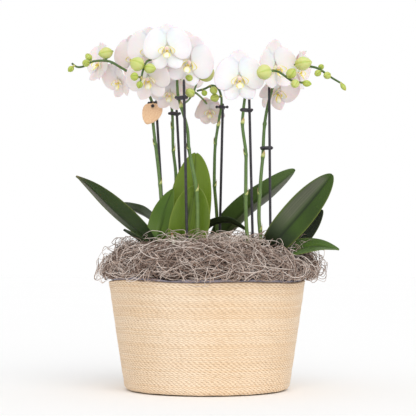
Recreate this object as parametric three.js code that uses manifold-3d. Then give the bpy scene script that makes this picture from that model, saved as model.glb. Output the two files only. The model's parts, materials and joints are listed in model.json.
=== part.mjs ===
// Moth orchids in a cord-wound basket: three potted plants, six staked flower spikes and a heap of moss.
// Millimetres, +Z up, +Y away from the viewer, origin at the middle of the basket's base.

import * as THREE from "three";
import { mergeVertices } from "three/addons/utils/BufferGeometryUtils.js";
import Module from "manifold-3d";

const wasm = await Module();
wasm.setup();

// Basket, liner and what stands in them
const clearance = 0.3; // air between pieces that rest on each other
const basketHeight = 128;
const basketBaseRadius = 97.8;
const basketFlare = 19.8; // how much wider the rim is than the base
const basketWall = 4;
const baseRounding = 6;
const roundSegments = 30;
const linerThickness = 0.8;
const linerAboveRim = 2;
const platformRadius = 88;
const platformTop = 26;
const platformThickness = 2.4;
const footRadius = 7;
const footCircle = 70;
const wickHoleRadius = 6;

// Nursery pots: nine-centimetre thin-walled ones
const potHeight = 85;
const potBaseRadius = 33;
const potTopRadius = 43;
const potRimRadius = 45;
const potRimHeight = 10;
const potWall = 1.3;
const potSegments = 10;
const barkBelowRim = 7;

// Plants and their supports
const crownRadius = 6.5;
const crownFoot = 62; // lowest point of the root stub, inside the bark
const crownTop = 160;
const leafRows = 7;
const leafThickness = 1.8;
const stemFootRadius = 2.1;
const stemTipRadius = 1.2;
const pedicelRadius = 1.1;
const stakeRadius = 1.6;
const stakeFoot = 66;
const clipHeight = 3.4;
const clipSpan = 16;
const tepalThickness = 0.9;
const petalLength = 28.8;
const petalHalfWidth = 16.5;
const sepalLength = 26;
const dorsalLength = 28.5; // of the upright sepal, where a bloom has no length of its own
const sepalHalfWidth = 9.2;
const tagWidth = 25;
const tagThickness = 0.8;

// Moss
const mossBottom = basketHeight - 16.3;
const mossTop = 168;
const mossRadius = 124;
const mossLean = 4; // how far the heap spills to the right
const mossStrands = 24;
const nestRadius = 21; // of the hollow round each plant's foot
const strandRadius = 1.3;

const sliver = 0.2; // cuts leave edges shorter than this, which are closed up

// Where the three plants stand, and the colours of the pieces
const plants = {
  left: { at: [-38, -30], lean: [-2, 0], pot: [-38, -30] },
  back: { at: [-2, 56], lean: [2, -3], pot: [-2, 56] },
  right: { at: [60, -28], lean: [2, 0], pot: [56, -26] },
};
const colours = {
  straw: { color: 0xe6cb98, roughness: 0.85 },
  film: { color: 0xb9b3bd, roughness: 0.35 },
  moss: { color: 0xa59689, roughness: 0.95 },
  bark: { color: 0x6a4630, roughness: 0.9 },
  pot: { color: 0x4a3a34, roughness: 0.5 },
  leaf: { color: 0x466028, roughness: 0.4 },
  stem: { color: 0x5a7d33, roughness: 0.5 },
  black: { color: 0x2b282e, roughness: 0.45 },
  petal: { color: 0xf4eef3, roughness: 0.6 },
  card: { color: 0xecc39a, roughness: 0.8 },
};

// Leaves: the middle line from foot to tip, the direction across the blade, half width and channel depth
const leaves = {
  leaf_left_1: {
    spine: [[-40, -30, 150], [-67, -40, 177], [-104, -42, 209], [-133, -42, 236], [-153, -42, 252]],
    across: [0, -0.8, -0.6],
    halfWidth: 21,
    channel: 0.3,
  },
  leaf_left_2: {
    spine: [[-40, -28, 156], [-49, -12, 184], [-72, 4, 208], [-91, 6, 217], [-105, 8, 222]],
    across: [0.1, 0.9, -0.42],
    halfWidth: 17,
    channel: 0.2,
  },
  leaf_left_3: {
    spine: [[-36, -26, 150], [-24, -14, 180], [-19, -12, 222], [-15, -14, 255], [-13, -18, 281]],
    across: [1, -0.1, 0],
    halfWidth: 25,
    channel: 0.14,
  },
  leaf_left_4: {
    spine: [[-36, -34, 148], [-25, -40, 178], [-19, -42, 202], [-16, -43, 222], [-13, -43, 240]],
    across: [1, 0, 0],
    halfWidth: 23.5,
    channel: 0.3,
  },
  leaf_left_5: {
    spine: [[-40, -34, 152], [-57, -32, 178], [-54, -29, 201], [-47, -28, 222], [-40, -27, 238]],
    across: [1, -0.35, 0],
    halfWidth: 14,
    channel: 0.2,
  },
  leaf_back_1: {
    spine: [[0, 54, 152], [21, 40, 190], [45, 30, 216], [74, 25, 238], [107, 22, 264]],
    across: [-0.3, -0.6, 0.5],
    halfWidth: 19,
    channel: 0.25,
  },
  leaf_back_2: {
    spine: [[-4, 56, 150], [-24, 68, 170], [-46, 82, 182], [-72, 95, 180]],
    across: [0.4, 0.7, 0],
    halfWidth: 19,
    channel: 0.3,
  },
  leaf_back_3: {
    spine: [[0, 58, 146], [14, 76, 164], [34, 96, 172], [58, 112, 168]],
    across: [0.7, -0.7, 0],
    halfWidth: 19,
    channel: 0.3,
  },
  leaf_right_1: {
    spine: [[62, -30, 150], [84, -44, 180], [110, -48, 210], [129, -50, 232], [146, -50, 253]],
    across: [0.62, -0.35, -0.6],
    halfWidth: 20,
    channel: 0.22,
  },
  leaf_right_2: {
    spine: [[62, -27, 152], [86, -26, 164], [108, -22, 178], [124, -20, 195], [137, -18, 213]],
    across: [0.3, -0.6, -0.5],
    halfWidth: 17,
    channel: 0.25,
  },
  leaf_right_3: {
    spine: [[63, -32, 146], [84, -42, 160], [110, -46, 168], [132, -46, 170], [154, -46, 166]],
    across: [0, -0.85, -0.5],
    halfWidth: 17,
    channel: 0.22,
  },
  leaf_right_4: {
    spine: [[61, -24, 148], [82, -2, 168], [104, 16, 178], [125, 30, 174]],
    across: [-0.6, 0.8, 0],
    halfWidth: 18,
    channel: 0.3,
  },
};

// Small low leaves that grow on a plant's own short stem
const lowLeaves = {
  left: {
    spine: [[-38, -32, 146], [-60, -52, 164], [-80, -58, 179], [-96, -56, 189]],
    across: [-0.3, -0.8, 0.4],
    halfWidth: 9,
    channel: 0.2,
  },
  back: {
    spine: [[-2, 52, 150], [-6, 34, 178], [5, 13, 197], [26, 3, 201], [48, 0, 190]],
    across: [0.1, -0.8, 0.4],
    halfWidth: 9,
    channel: 0.25,
  },
  right: {
    spine: [[63, -24, 148], [71, -9, 166], [79, 8, 182], [86, 18, 195]],
    across: [0.2, 0.8, -0.4],
    halfWidth: 11,
    channel: 0.2,
  },
};

// Spikes: the stem's middle line, its side branch if it has one, and its buds as place, length and width
const spikes = {
  spike_1: {
    stem: [[-42, -27, 146], [-51, -12, 178], [-54, -8, 214], [-57, -3, 250], [-62, 1, 292], [-65, 3, 318],
      [-66, 4, 342], [-72, 2, 357], [-80, -6, 370], [-92, -13, 377], [-106, -18, 385], [-116, -20, 390],
      [-136, -26, 389], [-146, -28, 383], [-154, -30, 382], [-160, -32, 386]],
    buds: [[-121, -20, 400, 17, 15], [-141, -22, 395, 12, 8], [-143, -34, 386, 12, 9],
      [-161, -33, 379, 9, 7]],
  },
  spike_2: {
    stem: [[-8, 51, 150], [-30, 34, 178], [-37, 22, 212], [-38, 14, 260], [-41, 11, 288], [-42, 8, 330],
      [-44, 8, 347], [-45, 7, 361], [-48, 4, 377], [-54, -2, 389], [-62, -8, 398]],
    buds: [],
  },
  spike_3: {
    stem: [[-34, -36, 146], [-14, -49, 172], [-11, -51, 208], [-13, -51, 240], [-17, -50, 261],
      [-21, -49, 283], [-23, -48, 307], [-31, -45, 335], [-34, -42, 346], [-35, -36, 359], [-36, -31, 370],
      [-42, -30, 381], [-52, -38, 386], [-61, -50, 388], [-70, -58, 384], [-74, -61, 374], [-76, -62, 365]],
    branch: [[-31, -45, 334], [-23, -40, 340], [-18, -37, 347], [-14, -36, 356], [-11, -36, 365]],
    buds: [[-81, -66, 380, 18, 17], [-66, -64, 375, 15, 12], [-84, -68, 365, 10, 10], [-78, -64, 356, 9, 8],
      [-20, -40, 350, 13, 11], [-21, -43, 367, 10, 8], [0, -31, 373, 21, 17]],
  },
  spike_4: {
    stem: [[2, 51, 150], [11, 38, 176], [12, 28, 205], [9, 12, 245], [9, 6, 264], [10, -3, 292],
      [15, -13, 325], [17, -16, 337], [17, -18, 348], [13, -20, 358], [6, -22, 361], [-2, -24, 357],
      [-12, -25, 354]],
    buds: [[8, -30, 354, 12, 9], [9, -24, 346, 12, 10], [-3, -28, 351, 8, 7]],
  },
  spike_5: {
    stem: [[56, -30, 146], [48, -29, 178], [46, -28, 208], [46, -28, 262], [46, -28, 280], [42, -28, 313],
      [43, -28, 330], [45, -28, 346], [47, -28, 357], [51, -29, 367], [59, -32, 374], [67, -38, 376],
      [76, -47, 375], [83, -53, 373], [90, -56, 368], [98, -58, 362], [110, -60, 359]],
    buds: [[66, -62, 371, 20, 18], [98, -60, 370, 14, 12], [102, -65, 357, 15, 10], [116, -61, 358, 11, 8]],
  },
  spike_6: {
    stem: [[63, -24, 148], [64, -15, 178], [62, -11, 203], [63, -8, 230], [65, -5, 257], [67, -2, 277],
      [69, 2, 312], [72, 5, 333], [76, 6, 350], [79, 6, 361], [83, 6, 373], [91, 3, 381], [104, -2, 385],
      [117, -8, 386], [126, -11, 385], [134, -14, 382], [147, -18, 372], [159, -22, 364]],
    buds: [[115, -17, 388, 20, 18], [137, -10, 385, 9, 7], [132, -19, 376, 10, 8], [143, -22, 373, 13, 9],
      [162, -24, 359, 11, 6]],
  },
};

// Blooms: middle, where they face (degrees to the right, degrees up), roll, size, openness and their spike
const blooms = {
  bloom_01: { at: [-46, -62, 398], facing: [-4, -8], roll: 0, size: 1, open: 0.95, spike: "spike_3" },
  bloom_02: { at: [-22, -47, 384], facing: [8, -12], roll: 18, size: 1.05, open: 0.9, spike: "spike_3" },
  bloom_03: { at: [-68, -24, 402], facing: [-13, -5], roll: 3, size: 0.98, open: 0.93, spike: "spike_2" },
  bloom_04: { at: [-87, 15, 400], facing: [-26, -4], roll: -4, size: 0.96, open: 0.85, spike: "spike_1" },
  bloom_05: { at: [-38, -12, 404], facing: [172, -6], roll: 0, size: 1, open: 0.95, spike: "spike_3" },
  bloom_06: { at: [-68, -38, 366], facing: [-16, -16], roll: -6, size: 0.98, open: 0.85, spike: "spike_1" },
  bloom_07: { at: [-44, -14, 352], facing: [-8, -18], roll: 8, size: 0.8, open: 0.8, spike: "spike_2" },
  bloom_08: { at: [-32, 22, 373], facing: [166, -8], roll: 5, size: 1, open: 0.9, spike: "spike_2" },
  bloom_09: { at: [-129, 10, 391], facing: [-54, 10], roll: 4, size: 0.92, open: 0.8, spike: "spike_1" },
  bloom_10: { at: [-106, 8, 371], facing: [-48, -26], roll: 0, size: 0.86, open: 0.75, spike: "spike_1" },
  bloom_11: { at: [4, 13, 334], facing: [-6, -14], roll: 0, size: 0.72, open: 0.42, spike: "spike_3" },
  bloom_12: { at: [38, -46, 365], facing: [2, -8], roll: -2, size: 1.04, open: 0.95, spike: "spike_5" },
  bloom_13: { at: [37, -10, 373], facing: [176, -6], roll: 4, size: 1.02, open: 0.92, spike: "spike_5" },
  bloom_14: { at: [82, -16, 382], facing: [32, -2], roll: -10, size: 1, open: 0.86, spike: "spike_6" },
  bloom_15: { at: [86, 24, 360], facing: [34, -34], roll: 4, size: 1, open: 0.84, spike: "spike_6" },
  bloom_16: { at: [111, 32, 386], facing: [70, -4], roll: 4, size: 0.94, open: 0.7, spike: "spike_6" },
};

// The upright sepal's length in the blooms where it is longer
const longDorsals = { bloom_02: 31, bloom_12: 33, bloom_14: 35 };

// Stakes from foot to top, and the clip that ties each to its spike
const stakes = {
  stake_1: { foot: [-44, -1, stakeFoot], top: [-62, 9, 347] },
  stake_2: { foot: [-23, 46, stakeFoot], top: [-37, 14, 337] },
  stake_3: { foot: [-21, -56, stakeFoot], top: [-27, -52, 364] },
  stake_4: { foot: [13, 60, stakeFoot], top: [19, -10, 341] },
  stake_5: { foot: [57, -14, stakeFoot], top: [50, -24, 352] },
  stake_6: { foot: [76, -20, stakeFoot], top: [75, 1, 363] },
};
const clips = {
  clip_1: { spike: "spike_1", stake: "stake_1", height: 343 },
  clip_2: { spike: "spike_3", stake: "stake_3", height: 343 },
  clip_3: { spike: "spike_2", stake: "stake_2", height: 331 },
  clip_4: { spike: "spike_4", stake: "stake_4", height: 336 },
  clip_5: { spike: "spike_5", stake: "stake_5", height: 331 },
  clip_6: { spike: "spike_6", stake: "stake_6", height: 288 },
};

const point = ([x, y, z]) => new THREE.Vector3(x, y, z);
const curveThrough = (points) => new THREE.CatmullRomCurve3(points.map(point), false, "centripetal");
const lerp = THREE.MathUtils.lerp;
const radians = THREE.MathUtils.degToRad;

// Repeatable random numbers between 0 and 1.
function seededRandom(seed) {
  let state = seed;
  return () => {
    state = (state * 1664525 + 1013904223) % 4294967296;
    return state / 4294967296;
  };
}

// Positions and faces as a solid, turned the right way out.
function solidFrom(positions, faces) {
  const build = (triangles) =>
    new wasm.Manifold(
      new wasm.Mesh({
        numProp: 3,
        vertProperties: new Float32Array(positions),
        triVerts: new Uint32Array(triangles),
      }),
    );
  const made = build(faces);
  if (made.volume() > 0) return made;
  const turned = [];
  for (let i = 0; i < faces.length; i += 3) turned.push(faces[i], faces[i + 2], faces[i + 1]);
  return build(turned);
}

// A closed three.js geometry as a solid: shared corners are merged and collapsed faces dropped.
function toSolid(geometry, matrix = new THREE.Matrix4()) {
  const bare = geometry.clone().applyMatrix4(matrix);
  bare.deleteAttribute("normal");
  bare.deleteAttribute("uv");
  const merged = mergeVertices(bare, 1e-3);
  const index = merged.index.array;
  const faces = [];
  for (let i = 0; i < index.length; i += 3) {
    const [a, b, c] = [index[i], index[i + 1], index[i + 2]];
    if (a !== b && b !== c && a !== c) faces.push(a, b, c);
  }
  return solidFrom(merged.attributes.position.array, faces);
}

function toGeometry(solid) {
  const mesh = solid.getMesh();
  const geometry = new THREE.BufferGeometry();
  geometry.setAttribute("position", new THREE.BufferAttribute(new Float32Array(mesh.vertProperties), 3));
  geometry.setIndex(new THREE.BufferAttribute(new Uint32Array(mesh.triVerts), 1));
  geometry.computeVertexNormals();
  return geometry;
}

// The biggest body of a solid: cutting can leave loose scraps.
function largestBody(solid) {
  const bodies = solid.simplify(sliver).decompose();
  return bodies.reduce((best, body) => (body.volume() > best.volume() ? body : best));
}

function boxesMeet(a, b) {
  const [p, q] = [a.boundingBox(), b.boundingBox()];
  return [0, 1, 2].every((i) => p.min[i] <= q.max[i] && q.min[i] <= p.max[i]);
}

// A solid cut clear of its neighbours, which are given a little thicker than they are.
function cutClear(solid, neighbours) {
  let cut = solid;
  for (const neighbour of neighbours) {
    if (boxesMeet(cut, neighbour)) cut = cut.subtract(neighbour);
  }
  return largestBody(cut);
}

// A thin blade's corners and faces: a surface point(u, v), u from 0 to 1 and v from -1 to 1, thickened to
// both sides. With openFoot the foot row has no rim, and its corners on both faces are given back.
function bladeFaces(surface, rows, columns, thickness, first = 0, openFoot = false) {
  const positions = [];
  const step = 1e-3;
  const normalAt = (u, v) => {
    const alongU = surface(Math.min(u + step, 1), v).sub(surface(Math.max(u - step, 0), v));
    const alongV = surface(u, Math.min(v + step, 1)).sub(surface(u, Math.max(v - step, -1)));
    return alongU.cross(alongV).normalize();
  };
  for (const side of [1, -1]) {
    for (let i = 0; i <= rows; i++) {
      for (let j = 0; j <= columns; j++) {
        const u = i / rows;
        const v = (2 * j) / columns - 1;
        positions.push(...surface(u, v).addScaledVector(normalAt(u, v), (side * thickness) / 2));
      }
    }
  }
  const across = columns + 1;
  const otherFace = (rows + 1) * across;
  const faces = [];
  for (let i = 0; i < rows; i++) {
    for (let j = 0; j < columns; j++) {
      const a = first + i * across + j;
      const [b, c, d] = [a + 1, a + across + 1, a + across];
      faces.push(a, c, b, a, d, c);
      faces.push(a + otherFace, b + otherFace, c + otherFace, a + otherFace, c + otherFace, d + otherFace);
    }
  }
  const rim = [];
  for (let i = 0; i < rows; i++) rim.push(i * across + columns);
  for (let j = columns; j > 0; j--) rim.push(rows * across + j);
  for (let i = rows; i > 0; i--) rim.push(i * across);
  rim.push(0);
  if (!openFoot) for (let j = 1; j <= columns; j++) rim.push(j);
  for (let i = 0; i + 1 < rim.length; i++) {
    const [a, b] = [first + rim[i], first + rim[i + 1]];
    faces.push(a, b, b + otherFace, a, b + otherFace, a + otherFace);
  }
  const footFront = Array.from({ length: across }, (_, j) => first + j);
  const footBack = footFront.map((corner) => corner + otherFace);
  return { positions, faces, footFront, footBack };
}

function bladeSolid(surface, rows, columns, thickness) {
  const { positions, faces } = bladeFaces(surface, rows, columns, thickness);
  return solidFrom(positions, faces);
}

// A closed tube through points; radiusAt(t) gives its radius from the first point to the last.
function tubeSolid(points, radiusAt, sides) {
  const last = points.length - 1;
  const positions = [];
  let normal = new THREE.Vector3(0.31, -0.77, 0.12);
  points.forEach((middle, i) => {
    const ahead = points[Math.min(i + 1, last)].clone().sub(points[Math.max(i - 1, 0)]).normalize();
    normal = normal.clone().addScaledVector(ahead, -normal.dot(ahead)).normalize();
    const binormal = new THREE.Vector3().crossVectors(ahead, normal);
    for (let j = 0; j < sides; j++) {
      const angle = (2 * Math.PI * j) / sides;
      const radius = radiusAt(i / last);
      const corner = middle
        .clone()
        .addScaledVector(normal, radius * Math.cos(angle))
        .addScaledVector(binormal, radius * Math.sin(angle));
      positions.push(...corner);
    }
  });
  const faces = [];
  for (let i = 0; i < last; i++) {
    for (let j = 0; j < sides; j++) {
      const a = i * sides + j;
      const b = i * sides + ((j + 1) % sides);
      faces.push(a, b, b + sides, a, b + sides, a + sides);
    }
  }
  const end = last * sides;
  for (let j = 1; j < sides - 1; j++) faces.push(0, j + 1, j, end, end + j, end + j + 1);
  return solidFrom(positions, faces);
}

// A turned solid about +Z; reshape(point, angle) may move each corner afterwards.
function turnedSolid(profile, segments, reshape = null) {
  const geometry = new THREE.LatheGeometry(
    profile.map(([radius, height]) => new THREE.Vector2(radius, height)),
    segments,
  );
  geometry.rotateX(Math.PI / 2);
  if (reshape) {
    const places = geometry.attributes.position;
    for (let i = 0; i < places.count; i++) {
      const corner = new THREE.Vector3().fromBufferAttribute(places, i);
      reshape(corner, Math.atan2(corner.y, corner.x));
      places.setXYZ(i, corner.x, corner.y, corner.z);
    }
  }
  return toSolid(geometry);
}

function ballSolid(centre, radius, squash = [1, 1, 1]) {
  const place = new THREE.Matrix4().makeTranslation(...centre);
  place.multiply(new THREE.Matrix4().makeScale(...squash));
  return toSolid(new THREE.SphereGeometry(radius, 5, 3), place);
}

// Basket and liner

// Outer radius of the basket at a height: the wall bellies out a little on its way up.
const basketRadiusAt = (height) => basketBaseRadius + basketFlare * Math.pow(height / basketHeight, 0.95);

// How far the rim rises and dips round the basket, as the cord was pushed out of level.
const rimWave = (angle) => 1.1 * Math.sin(2 * angle + 0.6) + 0.9 * Math.sin(5 * angle + 1.2);

function waveTop(from) {
  return (corner, angle) => {
    if (corner.z > from) corner.z += rimWave(angle);
  };
}

function makeBasket() {
  const heights = [baseRounding, 60, basketHeight];
  const outside = heights.map((height) => [basketRadiusAt(height), height]);
  const inside = [basketHeight, 60, basketWall].map((height) => [basketRadiusAt(height) - basketWall, height]);
  const profile = [[0, 0], [basketBaseRadius - baseRounding, 0], [basketBaseRadius - 1, 1.8]];
  profile.push(...outside, ...inside, [0, basketWall]);
  return turnedSolid(profile, roundSegments, waveTop(basketHeight - 20));
}

const linerRadiusAt = (height) => basketRadiusAt(height) - basketWall - clearance;

function makeLiner() {
  const floor = basketWall + clearance;
  const top = basketHeight + linerAboveRim;
  const outside = [[0, floor], [linerRadiusAt(floor), floor], [linerRadiusAt(60), 60], [linerRadiusAt(top), top]];
  const inside = outside.map(([radius, height]) => [Math.max(radius - linerThickness, 0), height]).reverse();
  const raised = floor + linerThickness;
  inside[2] = [linerRadiusAt(raised) - linerThickness, raised];
  inside[3] = [0, raised];
  return turnedSolid([...outside, ...inside], roundSegments, waveTop(basketHeight - 20));
}

// A disc on feet: water stands below it and reaches the pots through the wick holes.
function makePlatform() {
  const feetBottom = basketWall + linerThickness + 2 * clearance;
  const post = (x, y, radius, bottom, top) => {
    const geometry = new THREE.CylinderGeometry(radius, radius, top - bottom, 6);
    geometry.rotateX(Math.PI / 2).translate(x, y, (top + bottom) / 2);
    return toSolid(geometry);
  };
  let platform = turnedSolid(
    [[0, platformTop - platformThickness], [platformRadius, platformTop - platformThickness],
      [platformRadius, platformTop], [0, platformTop]],
    16,
  );
  for (let i = 0; i < 5; i++) {
    const angle = (i * 2 * Math.PI) / 5;
    const [x, y] = [footCircle * Math.cos(angle), footCircle * Math.sin(angle)];
    platform = platform.add(post(x, y, footRadius, feetBottom, platformTop - 1));
  }
  for (const { pot } of Object.values(plants)) {
    platform = platform.subtract(post(...pot, wickHoleRadius, platformTop - 10, platformTop + 5));
  }
  return platform;
}

// Pots and bark

const potFoot = platformTop + clearance;

function makePot([x, y]) {
  const rimFrom = potHeight - potRimHeight;
  const profile = [[0, 0], [potBaseRadius, 0], [potTopRadius - 1, rimFrom], [potRimRadius, rimFrom],
    [potRimRadius, potHeight], [potTopRadius, potHeight], [potBaseRadius - potWall, potWall], [0, potWall]];
  let pot = turnedSolid(profile, potSegments).translate([x, y, potFoot]);
  for (let i = 0; i < 3; i++) {
    const angle = (i * 2 * Math.PI) / 3 + 0.4;
    const hole = new THREE.CylinderGeometry(4, 4, 6, 6);
    hole.rotateX(Math.PI / 2).translate(x + 20 * Math.cos(angle), y + 20 * Math.sin(angle), potFoot);
    pot = pot.subtract(toSolid(hole));
  }
  return pot;
}

function makeBark([x, y]) {
  const bottom = potWall + clearance;
  const top = potHeight - barkBelowRim;
  const wallAt = (height) => lerp(potBaseRadius - potWall, potTopRadius, height / potHeight) - clearance - 0.4;
  const profile = [[0, bottom], [wallAt(bottom), bottom], [wallAt(top), top], [28, top + 3], [14, top + 1],
    [0, top + 2]];
  const bark = turnedSolid(profile, potSegments, (corner) => {
    const radius = Math.hypot(corner.x, corner.y);
    if (corner.z > top && radius > 1 && radius < 30) corner.z += 3 * Math.sin(corner.x) * Math.cos(corner.y);
  });
  return bark.translate([x, y, potFoot]);
}

// Leaves and crowns

// A line of points with both ends drawn out a little further.
function stretched(points, by) {
  const drawn = (end, before) => {
    const from = point(end);
    return from.addScaledVector(from.clone().sub(point(before)).normalize(), by).toArray();
  };
  const last = points.length - 1;
  return [drawn(points[0], points[1]), ...points.slice(1, last), drawn(points[last], points[last - 1])];
}

// Outline of a strap leaf: a narrow foot, the widest part past the middle, and a short blunt tip.
const leafOutline = (u) => Math.pow(Math.sin(Math.PI * Math.pow(0.1 + 0.89 * u, 1.25)), 0.54);

function leafSurface(leaf, grow) {
  const curve = curveThrough(stretched(leaf.spine, grow));
  const across = point(leaf.across).normalize();
  return (u, v) => {
    const along = curve.getTangentAt(u);
    const side = across.clone().addScaledVector(along, -across.dot(along)).normalize();
    const up = new THREE.Vector3().crossVectors(side, along);
    const half = leaf.halfWidth * leafOutline(u) + grow;
    const dip = leaf.channel * half * (v * v - 0.4);
    return curve.getPointAt(u).addScaledVector(side, half * v).addScaledVector(up, dip);
  };
}

const leafSolid = (leaf, grow = 0) => bladeSolid(leafSurface(leaf, grow), leafRows, 2, leafThickness + 2 * grow);

function crownSolid(name, grow = 0) {
  const { at, lean } = plants[name];
  const axis = [
    [at[0], at[1], crownFoot - grow],
    [at[0], at[1], 120],
    [at[0] + lean[0], at[1] + lean[1], crownTop + grow],
  ];
  const stem = tubeSolid(axis.map(point), (t) => crownRadius * (0.75 + 0.3 * Math.sin(Math.PI * t)) + grow, 7);
  return stem.add(bladeSolid(leafSurface(lowLeaves[name], grow), 5, 2, leafThickness + 2 * grow));
}

// Spikes

// The nearest point of a curve to a target, as the point and how far along the curve it is.
function nearestOn(curve, target) {
  let best = { distance: Infinity };
  for (let i = 0; i <= 160; i++) {
    const place = curve.getPointAt(i / 160);
    const distance = place.distanceTo(target);
    if (distance < best.distance) best = { distance, place, t: i / 160 };
  }
  return best;
}

// A bloom's own frame: x to the right of a viewer in front of it, y up, z out of its face.
function bloomMatrix({ at, facing, roll }) {
  const [turn, tilt] = facing.map(radians);
  const out = new THREE.Vector3(
    Math.sin(turn) * Math.cos(tilt),
    -Math.cos(turn) * Math.cos(tilt),
    Math.sin(tilt),
  );
  const right = new THREE.Vector3().crossVectors(new THREE.Vector3(0, 0, 1), out).normalize();
  const up = new THREE.Vector3().crossVectors(out, right);
  const matrix = new THREE.Matrix4().makeBasis(right, up, out).setPosition(...at);
  return matrix.multiply(new THREE.Matrix4().makeRotationZ(-radians(roll)));
}

const bloomBack = 3.2; // how far the swollen base reaches behind the middle of a bloom

function stalkTo(end, direction, curves, reach) {
  const start = curves
    .map((curve) => nearestOn(curve, end.clone().addScaledVector(direction, -reach)))
    .reduce((best, found) => (found.distance < best.distance ? found : best)).place;
  const bend = end.distanceTo(start) * 0.45;
  return new THREE.CubicBezierCurve3(
    start,
    start.clone().lerp(end, 0.3).add(new THREE.Vector3(0, 0, bend * 0.2)),
    end.clone().addScaledVector(direction, -bend),
    end,
  );
}

function spikeSolid(name, grow = 0) {
  const { stem, branch, buds } = spikes[name];
  const curves = [curveThrough(stem)];
  const stemRadius = (t) => lerp(stemFootRadius, stemTipRadius, Math.pow(t, 1.6)) + grow;
  let solid = tubeSolid(stretched(stem, grow).map(point), stemRadius, 5);
  if (branch) {
    curves.push(curveThrough(branch));
    solid = solid.add(tubeSolid(branch.map(point), () => stemTipRadius + 0.2 + grow, 4));
  }
  for (const bloom of Object.values(blooms).filter(({ spike }) => spike === name)) {
    const matrix = bloomMatrix(bloom);
    const out = new THREE.Vector3().setFromMatrixColumn(matrix, 2);
    const gap = bloomBack * bloom.size + clearance;
    const end = point(bloom.at).addScaledVector(out, -gap);
    const stalk = stalkTo(end.addScaledVector(out, grow), out, curves, 14).getPoints(3);
    solid = solid.add(tubeSolid(stalk, () => pedicelRadius + grow, 3));
  }
  for (const [x, y, z, long, wide] of buds) {
    const middle = new THREE.Vector3(x, y, z);
    const root = curves
      .map((curve) => nearestOn(curve, middle))
      .reduce((best, found) => (found.distance < best.distance ? found : best)).place;
    const axis = middle.clone().sub(root).normalize();
    const along = [-0.42, -0.1, 0.26, 0.47].map((share) => {
      return middle.clone().addScaledVector(axis, share * long + Math.sign(share) * grow);
    });
    const widths = [0.5, 1, 0.8, 0.22].map((share) => (share * wide) / 2);
    const radii = [pedicelRadius, ...widths];
    solid = solid.add(tubeSolid([root, ...along], (t) => radii[Math.round(t * 4)] + grow, 5));
  }
  return largestBody(solid);
}

// Blooms

const tepalFoot = 3.4; // where petals and sepals start, on the swollen base

// One petal or sepal in a bloom's frame: direction in the face, sizes, how far forward it sits.
function tepalSurface({ angle, long, half, forward, claw, skew, full, arch }, open) {
  const cup = radians(70) * (1 - open);
  const direction = new THREE.Vector2(Math.cos(radians(angle)), Math.sin(radians(angle)));
  return (u, v) => {
    const bend = cup * (0.4 + 0.6 * u) * u;
    const reach = (long - tepalFoot) * u;
    const width = half * Math.pow(Math.sin(Math.PI * Math.pow(claw + (0.96 - claw) * u, skew)), full) * v;
    const along = tepalFoot + reach * Math.cos(bend);
    const lift = forward + reach * Math.sin(bend) - arch * v * v * half * u + 0.06 * long * u * u;
    return new THREE.Vector3(
      direction.x * along - direction.y * width,
      direction.y * along + direction.x * width,
      lift,
    );
  };
}

const petal = { long: petalLength, half: petalHalfWidth, forward: 1.1, claw: 0.018, skew: 1.02, full: 0.6 };
const sepal = { long: sepalLength, half: sepalHalfWidth, forward: -1.1, claw: 0.028, skew: 0.95, full: 0.72 };
const dorsal = { ...sepal, angle: 90, arch: 0.1, rows: 3, columns: 1 };
const tepals = [
  { ...petal, angle: 12, arch: 0.04, rows: 4, columns: 2 },
  dorsal,
  { ...petal, angle: 168, arch: 0.04, rows: 4, columns: 2 },
  { ...sepal, angle: 236, arch: 0.1, rows: 3, columns: 1 },
  { ...sepal, angle: 304, arch: 0.1, rows: 3, columns: 1 },
];

// Five blades round one swollen base, as one closed surface: each blade's foot row is part of the base.
function tepalRing(open, thickness, dorsalLong) {
  const positions = [];
  const faces = [];
  const front = [];
  const back = [];
  for (const tepal of tepals) {
    const long = tepal === dorsal ? dorsalLong : tepal.long;
    const surface = tepalSurface({ ...tepal, long }, open);
    const blade = bladeFaces(surface, tepal.rows, tepal.columns, thickness, positions.length / 3, true);
    positions.push(...blade.positions);
    faces.push(...blade.faces);
    front.push(blade.footFront);
    back.push(blade.footBack);
  }
  const frontMiddle = positions.length / 3;
  positions.push(0, 0, 2.6, 0, 0, -bloomBack);
  const fan = (rows, middle, turned) => {
    const ring = rows.flat();
    ring.forEach((a, i) => {
      const b = ring[(i + 1) % ring.length];
      faces.push(...(turned ? [middle, b, a] : [middle, a, b]));
    });
  };
  fan(front, frontMiddle, false);
  fan(back, frontMiddle + 1, true);
  front.forEach((row, i) => {
    const next = (i + 1) % front.length;
    const [a, b, c, d] = [row.at(-1), front[next][0], back[next][0], back[i].at(-1)];
    faces.push(a, c, b, a, d, c);
  });
  return solidFrom(positions, faces);
}

// The lip: a flared cup below the column, its middle lobe longer than the upright side lobes.
function lipSurface(u, v) {
  const turn = radians(118) * v;
  const middle = Math.cos((Math.PI / 2) * v);
  const radius = lerp(1.6, 6.6 - 1.2 * middle, u);
  return new THREE.Vector3(radius * Math.sin(turn), -radius * Math.cos(turn) - 0.4 - u, 0.6 + (7.4 + 2 * middle) * u);
}

function bloomSolid(name, grow = 0) {
  const bloom = blooms[name];
  const thickness = tepalThickness / bloom.size + 2 * grow;
  const column = [[0, 0.6, 0], [0, 0.6, 8]].map(point);
  const solid = tepalRing(bloom.open, thickness, longDorsals[name] ?? dorsalLength)
    .add(bladeSolid(lipSurface, 1, 3, thickness))
    .add(tubeSolid(column, () => 1.7, 4));
  const matrix = bloomMatrix(bloom).multiply(new THREE.Matrix4().makeScale(bloom.size, bloom.size, bloom.size));
  return solid.transform(matrix.elements);
}

// Stakes, clips and the tag

function stakeSolid({ foot, top }, grow = 0) {
  const reach = new THREE.Vector3(0, 0, grow);
  return tubeSolid([point(foot).sub(reach), point(top).add(reach)], () => stakeRadius + grow, 6);
}

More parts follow.
